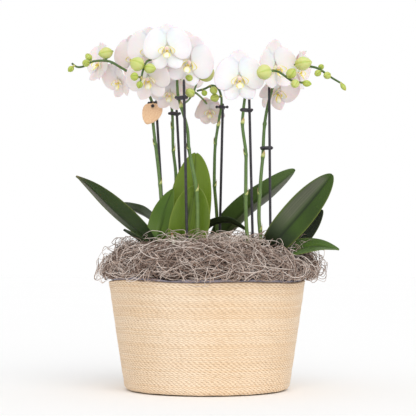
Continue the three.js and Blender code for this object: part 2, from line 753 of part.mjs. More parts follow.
// The point of a rising curve at a height.
function atHeight(curve, height) {
  for (let i = 0; i <= 400; i++) {
    const place = curve.getPointAt(i / 400);
    if (place.z >= height) return place;
  }
  return curve.getPointAt(1);
}

// A bar across stem and stake with a ball at each end and a thick middle that closes round both.
function clipSolid({ spike, stake, height }) {
  const onStem = atHeight(curveThrough(spikes[spike].stem), height);
  const { foot, top } = stakes[stake];
  const onStake = atHeight(new THREE.LineCurve3(point(foot), point(top)), height);
  const middle = onStem.clone().lerp(onStake, 0.5).setZ(height);
  const turn = Math.atan2(onStake.y - onStem.y, onStake.x - onStem.x);
  const apart = Math.hypot(onStake.x - onStem.x, onStake.y - onStem.y);
  const place = new THREE.Matrix4().makeRotationZ(turn).setPosition(middle);
  const hub = new THREE.CylinderGeometry(1, 1, clipHeight + 1, 7).rotateX(Math.PI / 2);
  const hubSize = new THREE.Matrix4().makeScale(apart / 2 + 4.2, 4.2, 1);
  let solid = toSolid(hub, place.clone().multiply(hubSize));
  const half = clipSpan / 2;
  const bar = [-half, 1.6 - half, 3.4 - half, half - 3.4, half - 1.6, half].map((x) => {
    return middle.clone().add(new THREE.Vector3(x, -3.4, 0));
  });
  const radii = [0.9, 1.7, 1, 1, 1.7, 0.9];
  return solid.add(tubeSolid(bar, (t) => radii[Math.round(t * 5)], 5));
}

const tagHole = { radius: 1.5, drop: 3.2 }; // the punched hole, and how far below the card's top it is
const tagPeg = { radius: 0.9, reach: 6.6 }; // the small hook under the left clip that the card hangs on

function tagMiddle() {
  const onStem = atHeight(curveThrough(spikes.spike_1.stem), clips.clip_1.height);
  return new THREE.Vector3(onStem.x + 1, onStem.y - 6.4, clips.clip_1.height - clipHeight - 1.2);
}

function tagPegSolid() {
  const hook = tagMiddle();
  const path = curveThrough([
    [hook.x, hook.y + 3.2, clips.clip_1.height],
    [hook.x, hook.y + 2.6, hook.z],
    [hook.x, hook.y - 1.8, hook.z + 0.4],
  ]);
  const ball = ballSolid([hook.x, hook.y - 2.2, hook.z + 0.4], tagHole.radius + 0.5);
  return tubeSolid(path.getPoints(4), () => tagPeg.radius, 5).add(ball);
}

// A rounded triangular card, its point down, hanging from its punched hole.
function tagSolid() {
  const outline = new THREE.Shape();
  const half = tagWidth / 2;
  outline.moveTo(-half * 0.55, tagHole.drop);
  outline.bezierCurveTo(half * 0.4, tagHole.drop + 1.5, half * 1.1, tagHole.drop, half * 0.9, -half * 0.6);
  outline.bezierCurveTo(half * 0.6, -half * 1.5, -half * 0.2, -half * 1.7, -half * 0.55, -half * 1.75);
  outline.bezierCurveTo(-half * 1.1, -half * 1.6, -half * 1.25, tagHole.drop - 2, -half * 0.55, tagHole.drop);
  const hole = new THREE.Path();
  hole.absarc(0, 0, tagHole.radius, 0, 2 * Math.PI);
  outline.holes.push(hole);
  const card = new THREE.ExtrudeGeometry(outline, { depth: tagThickness, bevelEnabled: false, curveSegments: 5 });
  card.translate(0, 0, -tagThickness / 2).rotateX(Math.PI / 2);
  return toSolid(card, new THREE.Matrix4().setPosition(tagMiddle()));
}

// Moss

// A low heap, with loops of curled strands that leave it and run back into it.
function makeMoss() {
  const random = seededRandom(11);
  const inside = linerRadiusAt(basketHeight) - linerThickness - 3;
  const rim = basketHeight + linerAboveRim + 1.2;
  const profile = [[0, mossBottom], [inside - 3, mossBottom], [inside, rim - 0.5], [mossRadius - 4, rim],
    [mossRadius, rim + 10], [mossRadius - 3, rim + 21], [mossRadius - 14, mossTop - 5], [88, mossTop],
    [0, mossTop]];
  let moss = turnedSolid(profile, 18, (corner, angle) => {
    const lump = Math.sin(0.11 * corner.x + 1) * Math.cos(0.1 * corner.y) + 0.6 * Math.sin(0.31 * corner.x);
    if (corner.z > rim - 0.2) corner.x += mossLean;
    if (corner.z > basketHeight - 5) corner.z += rimWave(angle);
    if (corner.z > rim + 25 && Math.hypot(corner.x, corner.y) > 5) corner.z += 2 * lump;
  });
  for (let i = 0; i < mossStrands; i++) {
    const atRim = i % 2 === 0;
    const angle = (2 * Math.PI * (i + 0.6 * random())) / mossStrands;
    const outward = new THREE.Vector3(Math.cos(angle), Math.sin(angle), 0);
    const sideways = new THREE.Vector3(-Math.sin(angle), Math.cos(angle), 0);
    const radius = atRim ? mossRadius : 45 + 60 * random();
    const height = atRim ? rim + 8 + 12 * random() : mossTop - 2;
    const middle = outward.clone().multiplyScalar(radius).setZ(height);
    const half = 9 + 7 * random();
    const swing = 3 + 4 * random();
    const away = atRim ? outward.clone().setZ(0.25) : new THREE.Vector3(0.2, -0.2, 1);
    const points = [-1, -0.5, 0.1, 0.6, 1].map((share) => {
      return middle
        .clone()
        .addScaledVector(sideways, half * share)
        .addScaledVector(away, 9 * Math.cos(1.35 * share) - 3.5)
        .addScaledVector(atRim ? new THREE.Vector3(0, 0, 1) : outward, swing * Math.sin(4 * share));
    });
    points[0].addScaledVector(away, -7);
    points[4].addScaledVector(away, -7);
    moss = moss.add(tubeSolid(points, () => strandRadius, 3));
  }
  return moss;
}

// The hollow that the moss leaves round a plant's foot.
function nestSolid({ at: [x, y] }) {
  const hollow = new THREE.CylinderGeometry(nestRadius + 5, nestRadius, mossTop + 20 - mossBottom, 8);
  hollow.rotateX(Math.PI / 2).translate(x, y, (mossTop + mossBottom) / 2);
  return toSolid(hollow);
}

// The scene graph: each piece is one named mesh

const orchids = new THREE.Group();

function addPiece(name, solid, colour) {
  const mesh = new THREE.Mesh(toGeometry(solid), new THREE.MeshStandardMaterial(colours[colour]));
  mesh.name = name;
  orchids.add(mesh);
  return solid;
}

addPiece("basket", makeBasket(), "straw");
addPiece("liner", makeLiner(), "film");
addPiece("reservoir_platform", makePlatform(), "pot");

const crownNames = Object.keys(plants);
const wideCrowns = crownNames.map((name) => crownSolid(name, clearance));
const wideSpikes = {};
const wideStakes = Object.values(stakes).map((stake) => stakeSolid(stake, clearance));
crownNames.forEach((name) => addPiece("crown_" + name, crownSolid(name), "leaf"));
for (const [name, stake] of Object.entries(stakes)) addPiece(name, stakeSolid(stake), "black");
for (const name of Object.keys(spikes)) {
  const others = Object.values(wideSpikes);
  const spike = cutClear(spikeSolid(name), [...wideCrowns, ...wideStakes, ...others]);
  addPiece(name, spike, "stem");
  wideSpikes[name] = spikeSolid(name, clearance);
}
const stems = [...wideCrowns, ...wideStakes, ...Object.values(wideSpikes)];

for (const [name, clip] of Object.entries(clips)) {
  let solid = clipSolid(clip);
  if (name === "clip_1") solid = solid.add(tagPegSolid());
  addPiece(name, cutClear(solid, stems), "black");
}
addPiece("tag", tagSolid(), "card");

const wideLeaves = [];
for (const [name, leaf] of Object.entries(leaves)) {
  addPiece(name, cutClear(leafSolid(leaf), [...stems, ...wideLeaves]), "leaf");
  wideLeaves.push(leafSolid(leaf, clearance));
}

const wideBlooms = [];
for (const name of Object.keys(blooms)) {
  addPiece(name, cutClear(bloomSolid(name), [...stems, ...wideBlooms]), "petal");
  wideBlooms.push(bloomSolid(name, clearance));
}

crownNames.forEach((name) => {
  addPiece("pot_" + name, makePot(plants[name].pot), "pot");
  addPiece("bark_" + name, cutClear(makeBark(plants[name].pot), stems), "bark");
});
const nests = Object.values(plants).map(nestSolid);
addPiece("moss", cutClear(makeMoss(), [...nests, ...stems, ...wideLeaves]), "moss");

export default orchids;
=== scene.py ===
# Moth orchids in a cord-wound basket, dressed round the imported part.
# Sizes are in millimetres and become metres when a mesh is made. +Z is up and the front faces -Y.
import json
import math

import bpy
import numpy as np
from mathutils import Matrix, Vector

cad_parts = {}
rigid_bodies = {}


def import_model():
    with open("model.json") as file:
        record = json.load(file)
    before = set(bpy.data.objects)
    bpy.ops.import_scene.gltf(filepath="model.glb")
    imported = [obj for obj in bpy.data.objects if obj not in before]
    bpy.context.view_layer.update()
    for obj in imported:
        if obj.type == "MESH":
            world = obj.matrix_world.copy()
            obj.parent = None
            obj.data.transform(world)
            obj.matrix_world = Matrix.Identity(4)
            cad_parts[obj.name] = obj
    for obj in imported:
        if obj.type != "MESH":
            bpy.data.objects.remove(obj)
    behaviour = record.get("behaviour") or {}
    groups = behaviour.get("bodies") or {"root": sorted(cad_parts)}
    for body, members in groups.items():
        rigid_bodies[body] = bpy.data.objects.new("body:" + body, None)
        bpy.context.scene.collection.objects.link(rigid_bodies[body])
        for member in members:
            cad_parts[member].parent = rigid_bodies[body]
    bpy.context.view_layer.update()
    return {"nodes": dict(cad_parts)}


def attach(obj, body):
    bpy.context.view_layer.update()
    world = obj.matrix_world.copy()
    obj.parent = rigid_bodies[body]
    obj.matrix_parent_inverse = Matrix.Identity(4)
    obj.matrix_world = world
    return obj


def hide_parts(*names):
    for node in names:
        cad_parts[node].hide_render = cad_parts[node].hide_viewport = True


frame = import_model()
cadNodes = frame["nodes"]
mm = 0.001

# camera

view = {"at": (1.2, -1583, 148), "tiltUp": 2.46, "lens": 114.1, "sensor": 36}


def addCamera():
    data = bpy.data.cameras.new("photoCamera")
    data.lens = view["lens"]
    data.sensor_width = view["sensor"]
    data.clip_end = 50
    camera = bpy.data.objects.new("photoCamera", data)
    camera.location = [value * mm for value in view["at"]]
    camera.rotation_euler = (math.radians(90 + view["tiltUp"]), 0, 0)
    bpy.context.scene.collection.objects.link(camera)
    bpy.context.scene.camera = camera


addCamera()
print("camera placed")


# curves and meshes

def unit(vectors):
    return vectors / np.maximum(np.linalg.norm(vectors, axis=-1, keepdims=True), 1e-9)


# Evenly spaced angles once round.
def fullTurn(count):
    return np.linspace(0, 2 * math.pi, count, endpoint=False)


# Points on the smooth curve through a few points, evenly spaced or at given shares of its length.
def smoothLine(points, count, spacing=None):
    points = np.array(points, float)
    ends = [2 * points[0] - points[1], *points, 2 * points[-1] - points[-2]]
    t = np.linspace(0, 1, 24, endpoint=False)[:, None]
    fine = []
    for before, start, end, after in zip(ends, ends[1:], ends[2:], ends[3:]):
        a, b, c = [np.linalg.norm(q - p) ** 0.5 for p, q in ((before, start), (start, end), (end, after))]
        leave = ((start - before) / a - (end - before) / (a + b) + (end - start) / b) * b
        arrive = ((end - start) / b - (after - start) / (b + c) + (after - end) / c) * b
        fine.append(start + leave * t + (3 * (end - start) - 2 * leave - arrive) * t**2
                    + (2 * (start - end) + leave + arrive) * t**3)
    fine = np.vstack([*fine, points[-1:]])
    lengths = np.concatenate([[0], np.cumsum(np.linalg.norm(np.diff(fine, axis=0), axis=1))])
    places = lengths[-1] * (np.linspace(0, 1, count) if spacing is None else spacing)
    return np.stack([np.interp(places, lengths, fine[:, k]) for k in range(3)], -1)


# A cubic curve with four handles, at the shares t of its way.
def cubic(handles, t):
    a, b, c, d = [np.array(handle) for handle in handles]
    return (1 - t) ** 3 * a + 3 * t * (1 - t) ** 2 * b + 3 * t**2 * (1 - t) * c + t**3 * d


# Two directions across a line at each of its points, with no twist between them.
def framesAlong(line):
    ahead = unit(np.gradient(line, axis=0))
    normal = np.array([0.31, -0.77, 0.12])
    across = []
    for direction in ahead:
        normal = unit(normal - direction * normal.dot(direction))
        across.append(normal)
    across = np.array(across)
    return across, np.cross(ahead, across)


# Rings of a tube along a line; radii is one number, one for each point or one for each corner.
def tubeRings(line, radii, sides):
    first, second = framesAlong(line)
    angles = fullTurn(sides)
    radii = np.asarray(radii, float)
    radii = radii if radii.ndim == 2 else np.broadcast_to(radii, (len(line),))[:, None]
    around = first[:, None] * np.cos(angles)[:, None] + second[:, None] * np.sin(angles)[:, None]
    return line[:, None] + around * radii[..., None]


# Where a blade's rows lie: closer together towards the tip, so that a round tip stays round.
def rowPlaces(rows):
    return np.sin(np.linspace(0, 0.5, rows + 1) * math.pi)


# Rings of a thin blade: surface(u, v) is its middle face, u from foot to tip and v from edge to edge.
def bladeRings(surface, rows, columns, thickness):
    u = rowPlaces(rows)[:, None]
    v = np.sin(np.linspace(-0.5, 0.5, columns + 1) * math.pi)[None, :]
    middle = surface(u, v)
    normal = unit(np.cross(np.gradient(middle, axis=0), np.gradient(middle, axis=1)))
    swell = normal * (thickness / 2 * np.sqrt(1 - v**4))[..., None]
    rings = np.concatenate([middle + swell, (middle - swell)[:, -2:0:-1]], axis=1)
    fields = {
        "along": np.broadcast_to(u, rings.shape[:2]),
        "across": np.broadcast_to(np.concatenate([v[0], v[0, -2:0:-1]]), rings.shape[:2]),
    }
    return rings, fields


def roundRings(radius, angles, height):
    return np.stack([radius * np.cos(angles), radius * np.sin(angles), height + 0 * angles], -1)


# Rings about +Z from a profile of [radius, height].
def turnedRings(profile, columns):
    profile = np.array(profile, float)
    angles = fullTurn(columns)
    return roundRings(profile[:, 0:1], angles, profile[:, 1:2])


def newPiece():
    return {"corners": [], "quads": [], "ends": [], "fields": {}, "slots": [], "endSlots": [], "count": 0}


# Adds lofts to a piece. rings has the shape (lofts, rows, corners, 3), or (rows, corners, 3) for one loft.
# wrap joins the last row to the first; otherwise both ends are closed.
def addLofts(piece, rings, slot=0, wrap=False, **fields):
    rings = np.asarray(rings, float)
    if rings.ndim == 3:
        rings = rings[None]
        fields = {name: np.broadcast_to(value, rings.shape[1:3])[None] for name, value in fields.items()}
    lofts, rows, corners = rings.shape[:3]
    first = piece["count"] + np.arange(lofts)[:, None, None] * rows * corners
    row = np.arange(rows if wrap else rows - 1)
    low = row[:, None] * corners
    high = ((row + 1) % rows)[:, None] * corners
    column = np.arange(corners)
    after = (column + 1) % corners
    quads = np.stack([first + low + column, first + low + after,
                      first + high + after, first + high + column], -1)
    a, b, c, d = [rings.reshape(-1, 3)[quads[..., k].reshape(-1) - piece["count"]] for k in range(4)]
    centres = np.repeat(rings.mean((1, 2)), quads[0].size // 4, axis=0)
    outward = (np.cross(c - a, d - b) * ((a + b + c + d) / 4 - centres)).sum()
    turned = outward < 0
    piece["quads"].append(quads.reshape(-1, 4)[:, ::-1] if turned else quads.reshape(-1, 4))
    piece["slots"] += [slot] * (quads.size // 4)
    if not wrap:
        foot = first[:, 0] + column
        tip = foot + (rows - 1) * corners
        foot, tip = (foot, tip[:, ::-1]) if turned else (foot[:, ::-1], tip)
        piece["ends"] += foot.tolist() + tip.tolist()
        piece["endSlots"] += [slot] * (2 * lofts)
    piece["corners"].append(rings.reshape(-1, 3))
    total = lofts * rows * corners
    for name in set(fields) | set(piece["fields"]):
        known = piece["fields"].setdefault(name, [np.zeros(piece["count"])])
        value = fields.get(name, 0)
        known.append(np.broadcast_to(value, (lofts, rows, corners)).reshape(-1))
    piece["count"] += total


# Makes the Blender object of a piece: it rides on the part and stands for the nodes it replaces.
def finishPiece(piece, name, materials, replaced):
    mesh = bpy.data.meshes.new(name)
    quads = np.concatenate(piece["quads"])
    corners = np.concatenate(piece["corners"]) * mm
    mesh.from_pydata(corners.tolist(), [], quads.tolist() + piece["ends"])
    mesh.polygons.foreach_set("use_smooth", np.ones(len(mesh.polygons), bool))
    for material in materials:
        mesh.materials.append(material)
    mesh.polygons.foreach_set("material_index", np.array(piece["slots"] + piece["endSlots"], np.int32))
    for field, values in piece["fields"].items():
        attribute = mesh.attributes.new(field, "FLOAT", "POINT")
        attribute.data.foreach_set("value", np.concatenate(values).astype(np.float32))
    made = bpy.data.objects.new(name, mesh)
    bpy.context.scene.collection.objects.link(made)
    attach(made, "root")
    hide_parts(replaced)
    return made


# materials

# Adds a node to a material's tree, with its properties and its inputs' values or links.
def addNode(tree, kind, settings=None, **inputs):
    node = tree.nodes.new(kind)
    for key, value in (settings or {}).items():
        setattr(node, key, value)
    for key, value in inputs.items():
        socket = node.inputs[int(key[1:])] if key[0] == "_" and key[1:].isdigit() else node.inputs[key]
        if isinstance(value, bpy.types.NodeSocket):
            tree.links.new(value, socket)
        else:
            socket.default_value = value
    return node


def newMaterial(name, **inputs):
    material = bpy.data.materials.new(name)
    material.use_nodes = True
    shader = material.node_tree.nodes["Principled BSDF"]
    for key, value in inputs.items():
        shader.inputs[key.replace("_", " ")].default_value = value
    return material, material.node_tree, shader


def fieldOf(tree, name):
    return addNode(tree, "ShaderNodeAttribute", {"attribute_name": name}).outputs["Fac"]


def objectPlace(tree):
    return addNode(tree, "ShaderNodeTexCoord").outputs["Object"]


def noiseOf(tree, scale, detail=3.0, place=None):
    node = addNode(tree, "ShaderNodeTexNoise", Scale=scale, Detail=detail, Vector=place or objectPlace(tree))
    return node.outputs["Fac"]


def maths(tree, operation, a, b=0.0):
    return addNode(tree, "ShaderNodeMath", {"operation": operation}, _0=a, _1=b).outputs[0]


def plus(tree, a, b):
    return maths(tree, "ADD", a, b)


def times(tree, a, b):
    return maths(tree, "MULTIPLY", a, b)


# A colour ramp; stops are (place, colour) with colours as sRGB hex text.
def rampOf(tree, factor, stops):
    node = addNode(tree, "ShaderNodeValToRGB", Fac=factor)
    elements = node.color_ramp.elements
    while len(elements) < len(stops):
        elements.new(0.5)
    for element, (place, colour) in zip(elements, stops):
        element.position = place
        element.color = colourOf(colour)
    return node.outputs["Color"]


def mixOf(tree, factor, a, b, kind="MIX"):
    node = addNode(tree, "ShaderNodeMix", {"data_type": "RGBA", "blend_type": kind}, _0=factor)
    for socket, value in ((node.inputs[6], a), (node.inputs[7], b)):
        if isinstance(value, str):
            socket.default_value = colourOf(value)
        else:
            tree.links.new(value, socket)
    return node.outputs[2]


def bumpOf(tree, shader, height, strength, distance):
    bump = addNode(tree, "ShaderNodeBump", Height=height, Strength=strength, Distance=distance * mm)
    tree.links.new(bump.outputs["Normal"], shader.inputs["Normal"])


# Linear red, green, blue and alpha of a colour written as "#rrggbb".
def colourOf(text):
    parts = [int(text[i : i + 2], 16) / 255 for i in (1, 3, 5)]
    return [p / 12.92 if p <= 0.04045 else ((p + 0.055) / 1.055) ** 2.4 for p in parts] + [1.0]


def colourInto(tree, shader, colour):
    tree.links.new(colour, shader.inputs["Base Color"])


# A place on a blade measured across it, along it and by its own tone, so that no two blades match.
def bladePlace(tree, across, along):
    return addNode(tree, "ShaderNodeCombineXYZ", X=times(tree, fieldOf(tree, "across"), across),
                   Y=times(tree, fieldOf(tree, "along"), along), Z=fieldOf(tree, "tone")).outputs[0]


# A material with the colours of one noise; bump holds scale, detail, strength and distance.
def speckled(name, scale, detail, stops, bump=None, **inputs):
    material, tree, shader = newMaterial(name, **inputs)
    colourInto(tree, shader, rampOf(tree, noiseOf(tree, scale, detail), stops))
    if bump:
        bumpOf(tree, shader, noiseOf(tree, *bump[:2]), *bump[2:])
    return material


# basket

basket = {
    "height": 128,
    "baseRadius": 97.8,
    "flare": 19.8,
    "wall": 4,
    "cord": 2.25,  # course to course
    "cordBulge": 0.8,
    "columns": 400,
    "perCourse": 3,
    "corner": 6,  # rounding at the foot
    "floor": {"radius": 91.5, "top": 4.1, "rounds": 30, "columns": 112},
    "twist": 6.6,  # stroke to stroke
    "strokeRadius": 112,  # where the strokes are that far apart
    "slant": 3.1,
    "light": "#ffe9cd",
    "dark": "#f0cb9e",
    # painted shade: the colour laid into the grooves between the cords and between their twists
    "groove": "#be9058",
}


def basketRadiusAt(height):
    return basket["baseRadius"] + basket["flare"] * (np.maximum(height, 0) / basket["height"]) ** 0.95


def rimWave(angle):
    return 1.1 * np.sin(2 * angle + 0.6) + 0.9 * np.sin(5 * angle + 1.2)


# How far the wavy rim lifts the wall at a height.
def rimLift(angle, height):
    return rimWave(angle) * np.clip((height - 30) / 90, 0, 1)


def strawMaterial():
    material, tree, shader = newMaterial("twistedStrawCord", Roughness=0.72, Sheen_Weight=0.12)
    split = addNode(tree, "ShaderNodeSeparateXYZ", Vector=objectPlace(tree))
    angle = maths(tree, "ARCTAN2", split.outputs["Y"], split.outputs["X"])
    step = fieldOf(tree, "step")
    # each course has its own start, so the slanting strokes of two courses don't line up
    course = maths(tree, "FLOOR", step)
    start = addNode(tree, "ShaderNodeTexWhiteNoise", {"noise_dimensions": "1D"}, W=course)
    strokes = round(2 * math.pi * basket["strokeRadius"] / basket["twist"])
    phase = plus(tree, times(tree, angle, strokes / 2),
                  times(tree, maths(tree, "FRACT", step), basket["slant"]))
    phase = plus(tree, phase, times(tree, start.outputs["Value"], math.pi))
    twist = maths(tree, "ABSOLUTE", maths(tree, "SINE", phase))
    fibre = noiseOf(tree, 700, 3)
    tone = plus(tree, fieldOf(tree, "tone"), times(tree, fibre, 0.4))
    straw = rampOf(tree, tone, [(0.15, basket["dark"]), (0.75, basket["light"])])
    # painted shade: darker in the grooves between the courses and between the twists of the cord
    shade = plus(tree, times(tree, fieldOf(tree, "crest"), 0.25),
                 times(tree, times(tree, twist, noiseOf(tree, 260, 2)), 1.3))
    grooveShade = rampOf(tree, shade, [(0.26, "#bcbcbc"), (0.66, "#000000")])
    colourInto(tree, shader, mixOf(tree, grooveShade, straw, basket["groove"]))
    bumpOf(tree, shader, plus(tree, twist, times(tree, fibre, 0.4)), 0.7, 0.6)
    return material


def makeBasket():
    rng = np.random.default_rng(3)
    columns = basket["columns"]
    courses = round(basket["height"] / basket["cord"])
    rows = courses * basket["perCourse"] + 1
    step = np.arange(rows) / basket["perCourse"]
    height = 0.8 + step * (basket["height"] - 0.8) / courses
    within = step % 1
    bulge = np.sin(math.pi * within) ** 0.6
    corner = basket["corner"]
    rounding = corner - np.sqrt(corner**2 - np.maximum(corner - height, 0) ** 2)
    radius = basketRadiusAt(height) - basket["cordBulge"] - rounding
    angles = fullTurn(columns)
    sway = np.zeros((rows, columns))
    for _ in range(14):
        turned = rng.integers(3, 26) * angles[None] + rng.uniform(0, 6.3)
        sway += 0.07 * np.sin(turned + step[:, None] * rng.uniform(-1.4, 1.4))
    course = np.minimum(step.astype(int), courses - 1)
    courseTone = rng.uniform(0.25, 0.5, courses)[course]
    outRadius = radius[:, None] + basket["cordBulge"] * bulge[:, None] + sway * 0.7
    lift = rimLift(angles, height[:, None]) + sway * 0.9
    outside = roundRings(outRadius, angles, height[:, None] + lift)
    innerHeight = np.array([basket["height"] + 0.9, basket["height"] + 0.2, 110, 60, 4.2])
    innerRadius = basketRadiusAt(innerHeight) - [1.9, *[basket["wall"]] * 4]
    innerTop = innerHeight[:, None] + rimLift(angles, innerHeight[:, None])
    inside = roundRings(innerRadius[:, None], angles, innerTop)
    bottom = turnedRings([[90, 4.2], [90, 0.6]], columns)
    plain = len(inside) + len(bottom)
    stepField = np.concatenate([step, np.zeros(plain)])
    crest = np.concatenate([0.25 + 0.75 * bulge, np.full(plain, 0.6)])
    tone = np.concatenate([courseTone, np.full(plain, 0.3)])
    patches = 0.06 * np.sin(3 * angles + 1) + 0.05 * np.sin(7 * angles + 2.2)
    piece = newPiece()
    addLofts(piece, np.concatenate([outside, inside, bottom]), wrap=True, step=stepField[:, None],
             crest=crest[:, None], tone=tone[:, None] + patches[None])
    # the floor is wound from the same cord, course round course
    floor = basket["floor"]
    ring = np.arange(floor["rounds"] * basket["perCourse"] + 1) / basket["perCourse"]
    floorRadius = floor["radius"] * (1 - ring / floor["rounds"]) + 0.6
    floorHeight = 0.35 + 0.75 * (1 - np.sin(math.pi * (ring % 1)) ** 0.6)
    under = turnedRings(np.stack([floorRadius, floorHeight], -1), floor["columns"])
    over = turnedRings([[0.6, floor["top"]], [floor["radius"], floor["top"]]], floor["columns"])
    addLofts(piece, np.concatenate([under, over]), wrap=True, step=0.5, crest=0.8, tone=0.3)
    finishPiece(piece, "basket_cord", [strawMaterial()], "basket")


makeBasket()
print("basket wound")

# liner

liner = {"thickness": 0.5, "aboveRim": 3.4, "columns": 360, "colour": "#b7b0bd"}


# Waves round the rim, each with its own size, number of turns and start.
def ripple(rng, angles, count, sizes, turns):
    return sum(rng.uniform(*sizes) * np.sin(rng.integers(*turns) * angles + rng.uniform(0, 6.3))
               for _ in range(count))


def makeLiner():
    rng = np.random.default_rng(5)
    angles = fullTurn(liner["columns"])
    crumple = ripple(rng, angles, 9, (0.2, 0.5), (9, 60))
    edge = ripple(rng, angles, 7, (0.2, 0.6), (3, 24))
    rows = []
    for side in (0, 1):
        heights = [4.4, 60, 110, 124, 129, basket["height"] + liner["aboveRim"]]
        if side:
            heights = heights[::-1]
        for height in heights:
            free = np.clip((height - 126) / 6, 0, 1)
            radius = basketRadiusAt(height) - basket["wall"] - 0.4 - side * liner["thickness"]
            radius = radius + free * (crumple * 0.9 + 1.2)
            top = height + side * (0.6 if height < 10 else 0)
            rows.append(roundRings(radius, angles, top + rimLift(angles, height) + free * edge))
    piece = newPiece()
    addLofts(piece, np.array(rows))
    film = speckled("greyFilm", 120, 4, [(0.3, "#8f8896"), (0.7, liner["colour"])], (120, 4, 0.5, 1.5),
                    Roughness=0.32)
    finishPiece(piece, "liner_film", [film], "liner")


makeLiner()
print("liner fitted")

# leaves

leafLook = {
    "rows": 56,
    "columns": 18,
    "thickness": 1.5,
    "groove": 1.1,  # depth of the line down the middle
}


# tone: 0 darkest green, 1 olive; tip: 0.5 round, 1 pointed; notch: how deep the tip is cut in;
# sheen: which edge a painted highlight runs along, how strong and from where; then a crease's painted shade:
# its place, width and depth
def leafRow(spine, across, halfWidth, channel, tone, tip=0.5, notch=0, sheen=(1, 0.0, 0.5),
            fold=(0.0, 0.05, 0.5)):
    return {"spine": spine, "across": across, "halfWidth": halfWidth, "channel": channel, "tone": tone,
            "tip": tip, "notch": notch, "sheen": sheen, "fold": fold}


leaves = {
    "leaf_left_1": leafRow([[-40, -30, 150], [-67, -40, 177], [-104, -42, 209], [-133, -42, 236],
        [-153, -42, 252]], [0, -0.8, -0.6], 21, 0.26, 0.22, tip=0.8, sheen=(1, 0.8, 0.42)),
    "leaf_left_2": leafRow([[-40, -28, 156], [-49, -12, 184], [-72, 4, 208], [-91, 6, 217], [-105, 8, 222]],
        [0.1, 0.9, -0.42], 17, 0.2, 0.15, tip=0.6, sheen=(1, 0.7, 0.3)),
    "leaf_left_3": leafRow([[-36, -26, 150], [-24, -14, 180], [-19, -12, 222], [-15, -14, 255],
        [-13, -18, 281]], [1, -0.1, 0], 25, 0.14, 0.98, notch=2.2, fold=(0.1, 0.03, 0.45)),
    "leaf_left_4": leafRow([[-36, -34, 148], [-25, -40, 178], [-19, -42, 202], [-16, -43, 222],
        [-13, -43, 240]], [1, 0, 0], 23.5, 0.3, 0.78, fold=(-0.5, 0.06, 0.75)),
    "leaf_left_5": leafRow([[-40, -34, 152], [-57, -32, 178], [-54, -29, 201], [-47, -28, 222],
        [-40, -27, 238]], [1, -0.35, 0], 14, 0.2, 0.62, tip=0.7, fold=(0.3, 0.08, 0.6)),
    "leaf_back_1": leafRow([[0, 54, 152], [21, 40, 190], [45, 30, 216], [74, 25, 238], [107, 22, 264]],
        [-0.3, -0.6, 0.5], 19, 0.25, 0.5, sheen=(-1, 0.6, 0.35)),
    "leaf_back_2": leafRow([[-4, 56, 150], [-24, 68, 170], [-46, 82, 182], [-72, 95, 180]],
        [0.4, 0.7, 0], 19, 0.3, 0.3),
    "leaf_back_3": leafRow([[0, 58, 146], [14, 76, 164], [34, 96, 172], [58, 112, 168]],
        [0.7, -0.7, 0], 19, 0.3, 0.3),
    "leaf_right_1": leafRow([[62, -30, 150], [84, -44, 180], [110, -48, 210], [129, -50, 232],
        [146, -50, 253]],
        [0.62, -0.35, -0.6], 20, 0.22, 0.34, notch=2.5, sheen=(-1, 0.45, 0.3), fold=(0.0, 0.05, 0.7)),
    "leaf_right_2": leafRow([[62, -27, 152], [86, -26, 164], [108, -22, 178], [124, -20, 195],
        [137, -18, 213]], [0.3, -0.6, -0.5], 17, 0.25, 0.05),
    "leaf_right_3": leafRow([[63, -32, 146], [84, -42, 160], [110, -46, 168], [132, -46, 170],
        [154, -46, 166]], [0, -0.85, -0.5], 17, 0.22, 0.5, tip=0.7),
    "leaf_right_4": leafRow([[61, -24, 148], [82, -2, 168], [104, 16, 178], [125, 30, 174]],
        [-0.6, 0.8, 0], 18, 0.3, 0.25),
}
lowLeaves = {
    "left": leafRow([[-38, -32, 146], [-60, -52, 164], [-80, -58, 179], [-96, -56, 189]],
        [-0.3, -0.8, 0.4], 9, 0.2, 0.0),
    "back": leafRow([[-2, 52, 150], [-6, 34, 178], [5, 13, 197], [26, 3, 201], [48, 0, 190]],
        [0.1, -0.8, 0.4], 9, 0.25, 0.05),
    "right": leafRow([[63, -24, 148], [71, -9, 166], [79, 8, 182], [86, 18, 195]],
        [0.2, 0.8, -0.4], 11, 0.2, 0.1),
}
plants = {
    "left": {"at": [-38, -30], "lean": [-2, 0]},
    "back": {"at": [-2, 56], "lean": [2, -3]},
    "right": {"at": [60, -28], "lean": [2, 0]},
}


def leafSurface(leaf, seed, rows):
    rng = np.random.default_rng(seed)
    line = smoothLine(leaf["spine"], rows + 1, rowPlaces(rows))
    ahead = unit(np.gradient(line, axis=0))
    across = np.array(leaf["across"], float)
    side = unit(across - ahead * (ahead @ across)[:, None])
    up = np.cross(side, ahead)
    # the channel opens to the face that looks up
    upward = 1 if up[:, 2].mean() - 0.6 * up[:, 1].mean() > 0 else -1
    phase = rng.uniform(0, 6.3, 3)

    def surface(u, v):
        outline = np.sin(math.pi * (0.1 + 0.898 * u) ** 1.25)
        outline = outline ** (0.54 + (leaf["tip"] - 0.5) * u)
        half = leaf["halfWidth"] * outline
        lift = leaf["channel"] * half * (np.abs(v) ** 1.6 - 0.4)
        lift = lift - leafLook["groove"] * np.exp(-((v / 0.07) ** 2))
        wave = 0.05 * half * np.abs(v) ** 3 * np.sin(7 * u + phase[0] + np.sign(v)) * np.sin(math.pi * u)
        cut = -leaf["notch"] * np.exp(-((v / 0.3) ** 2)) * np.clip((u - 0.9) / 0.1, 0, 1) ** 2
        sideways = half * v + 0.02 * leaf["halfWidth"] * np.sin(4 * u + phase[1])
        return (line[:, None] + side[:, None] * sideways[..., None]
                + ahead[:, None] * (cut + 0 * v)[..., None]
                + upward * up[:, None] * (lift + wave)[..., None])

    return surface


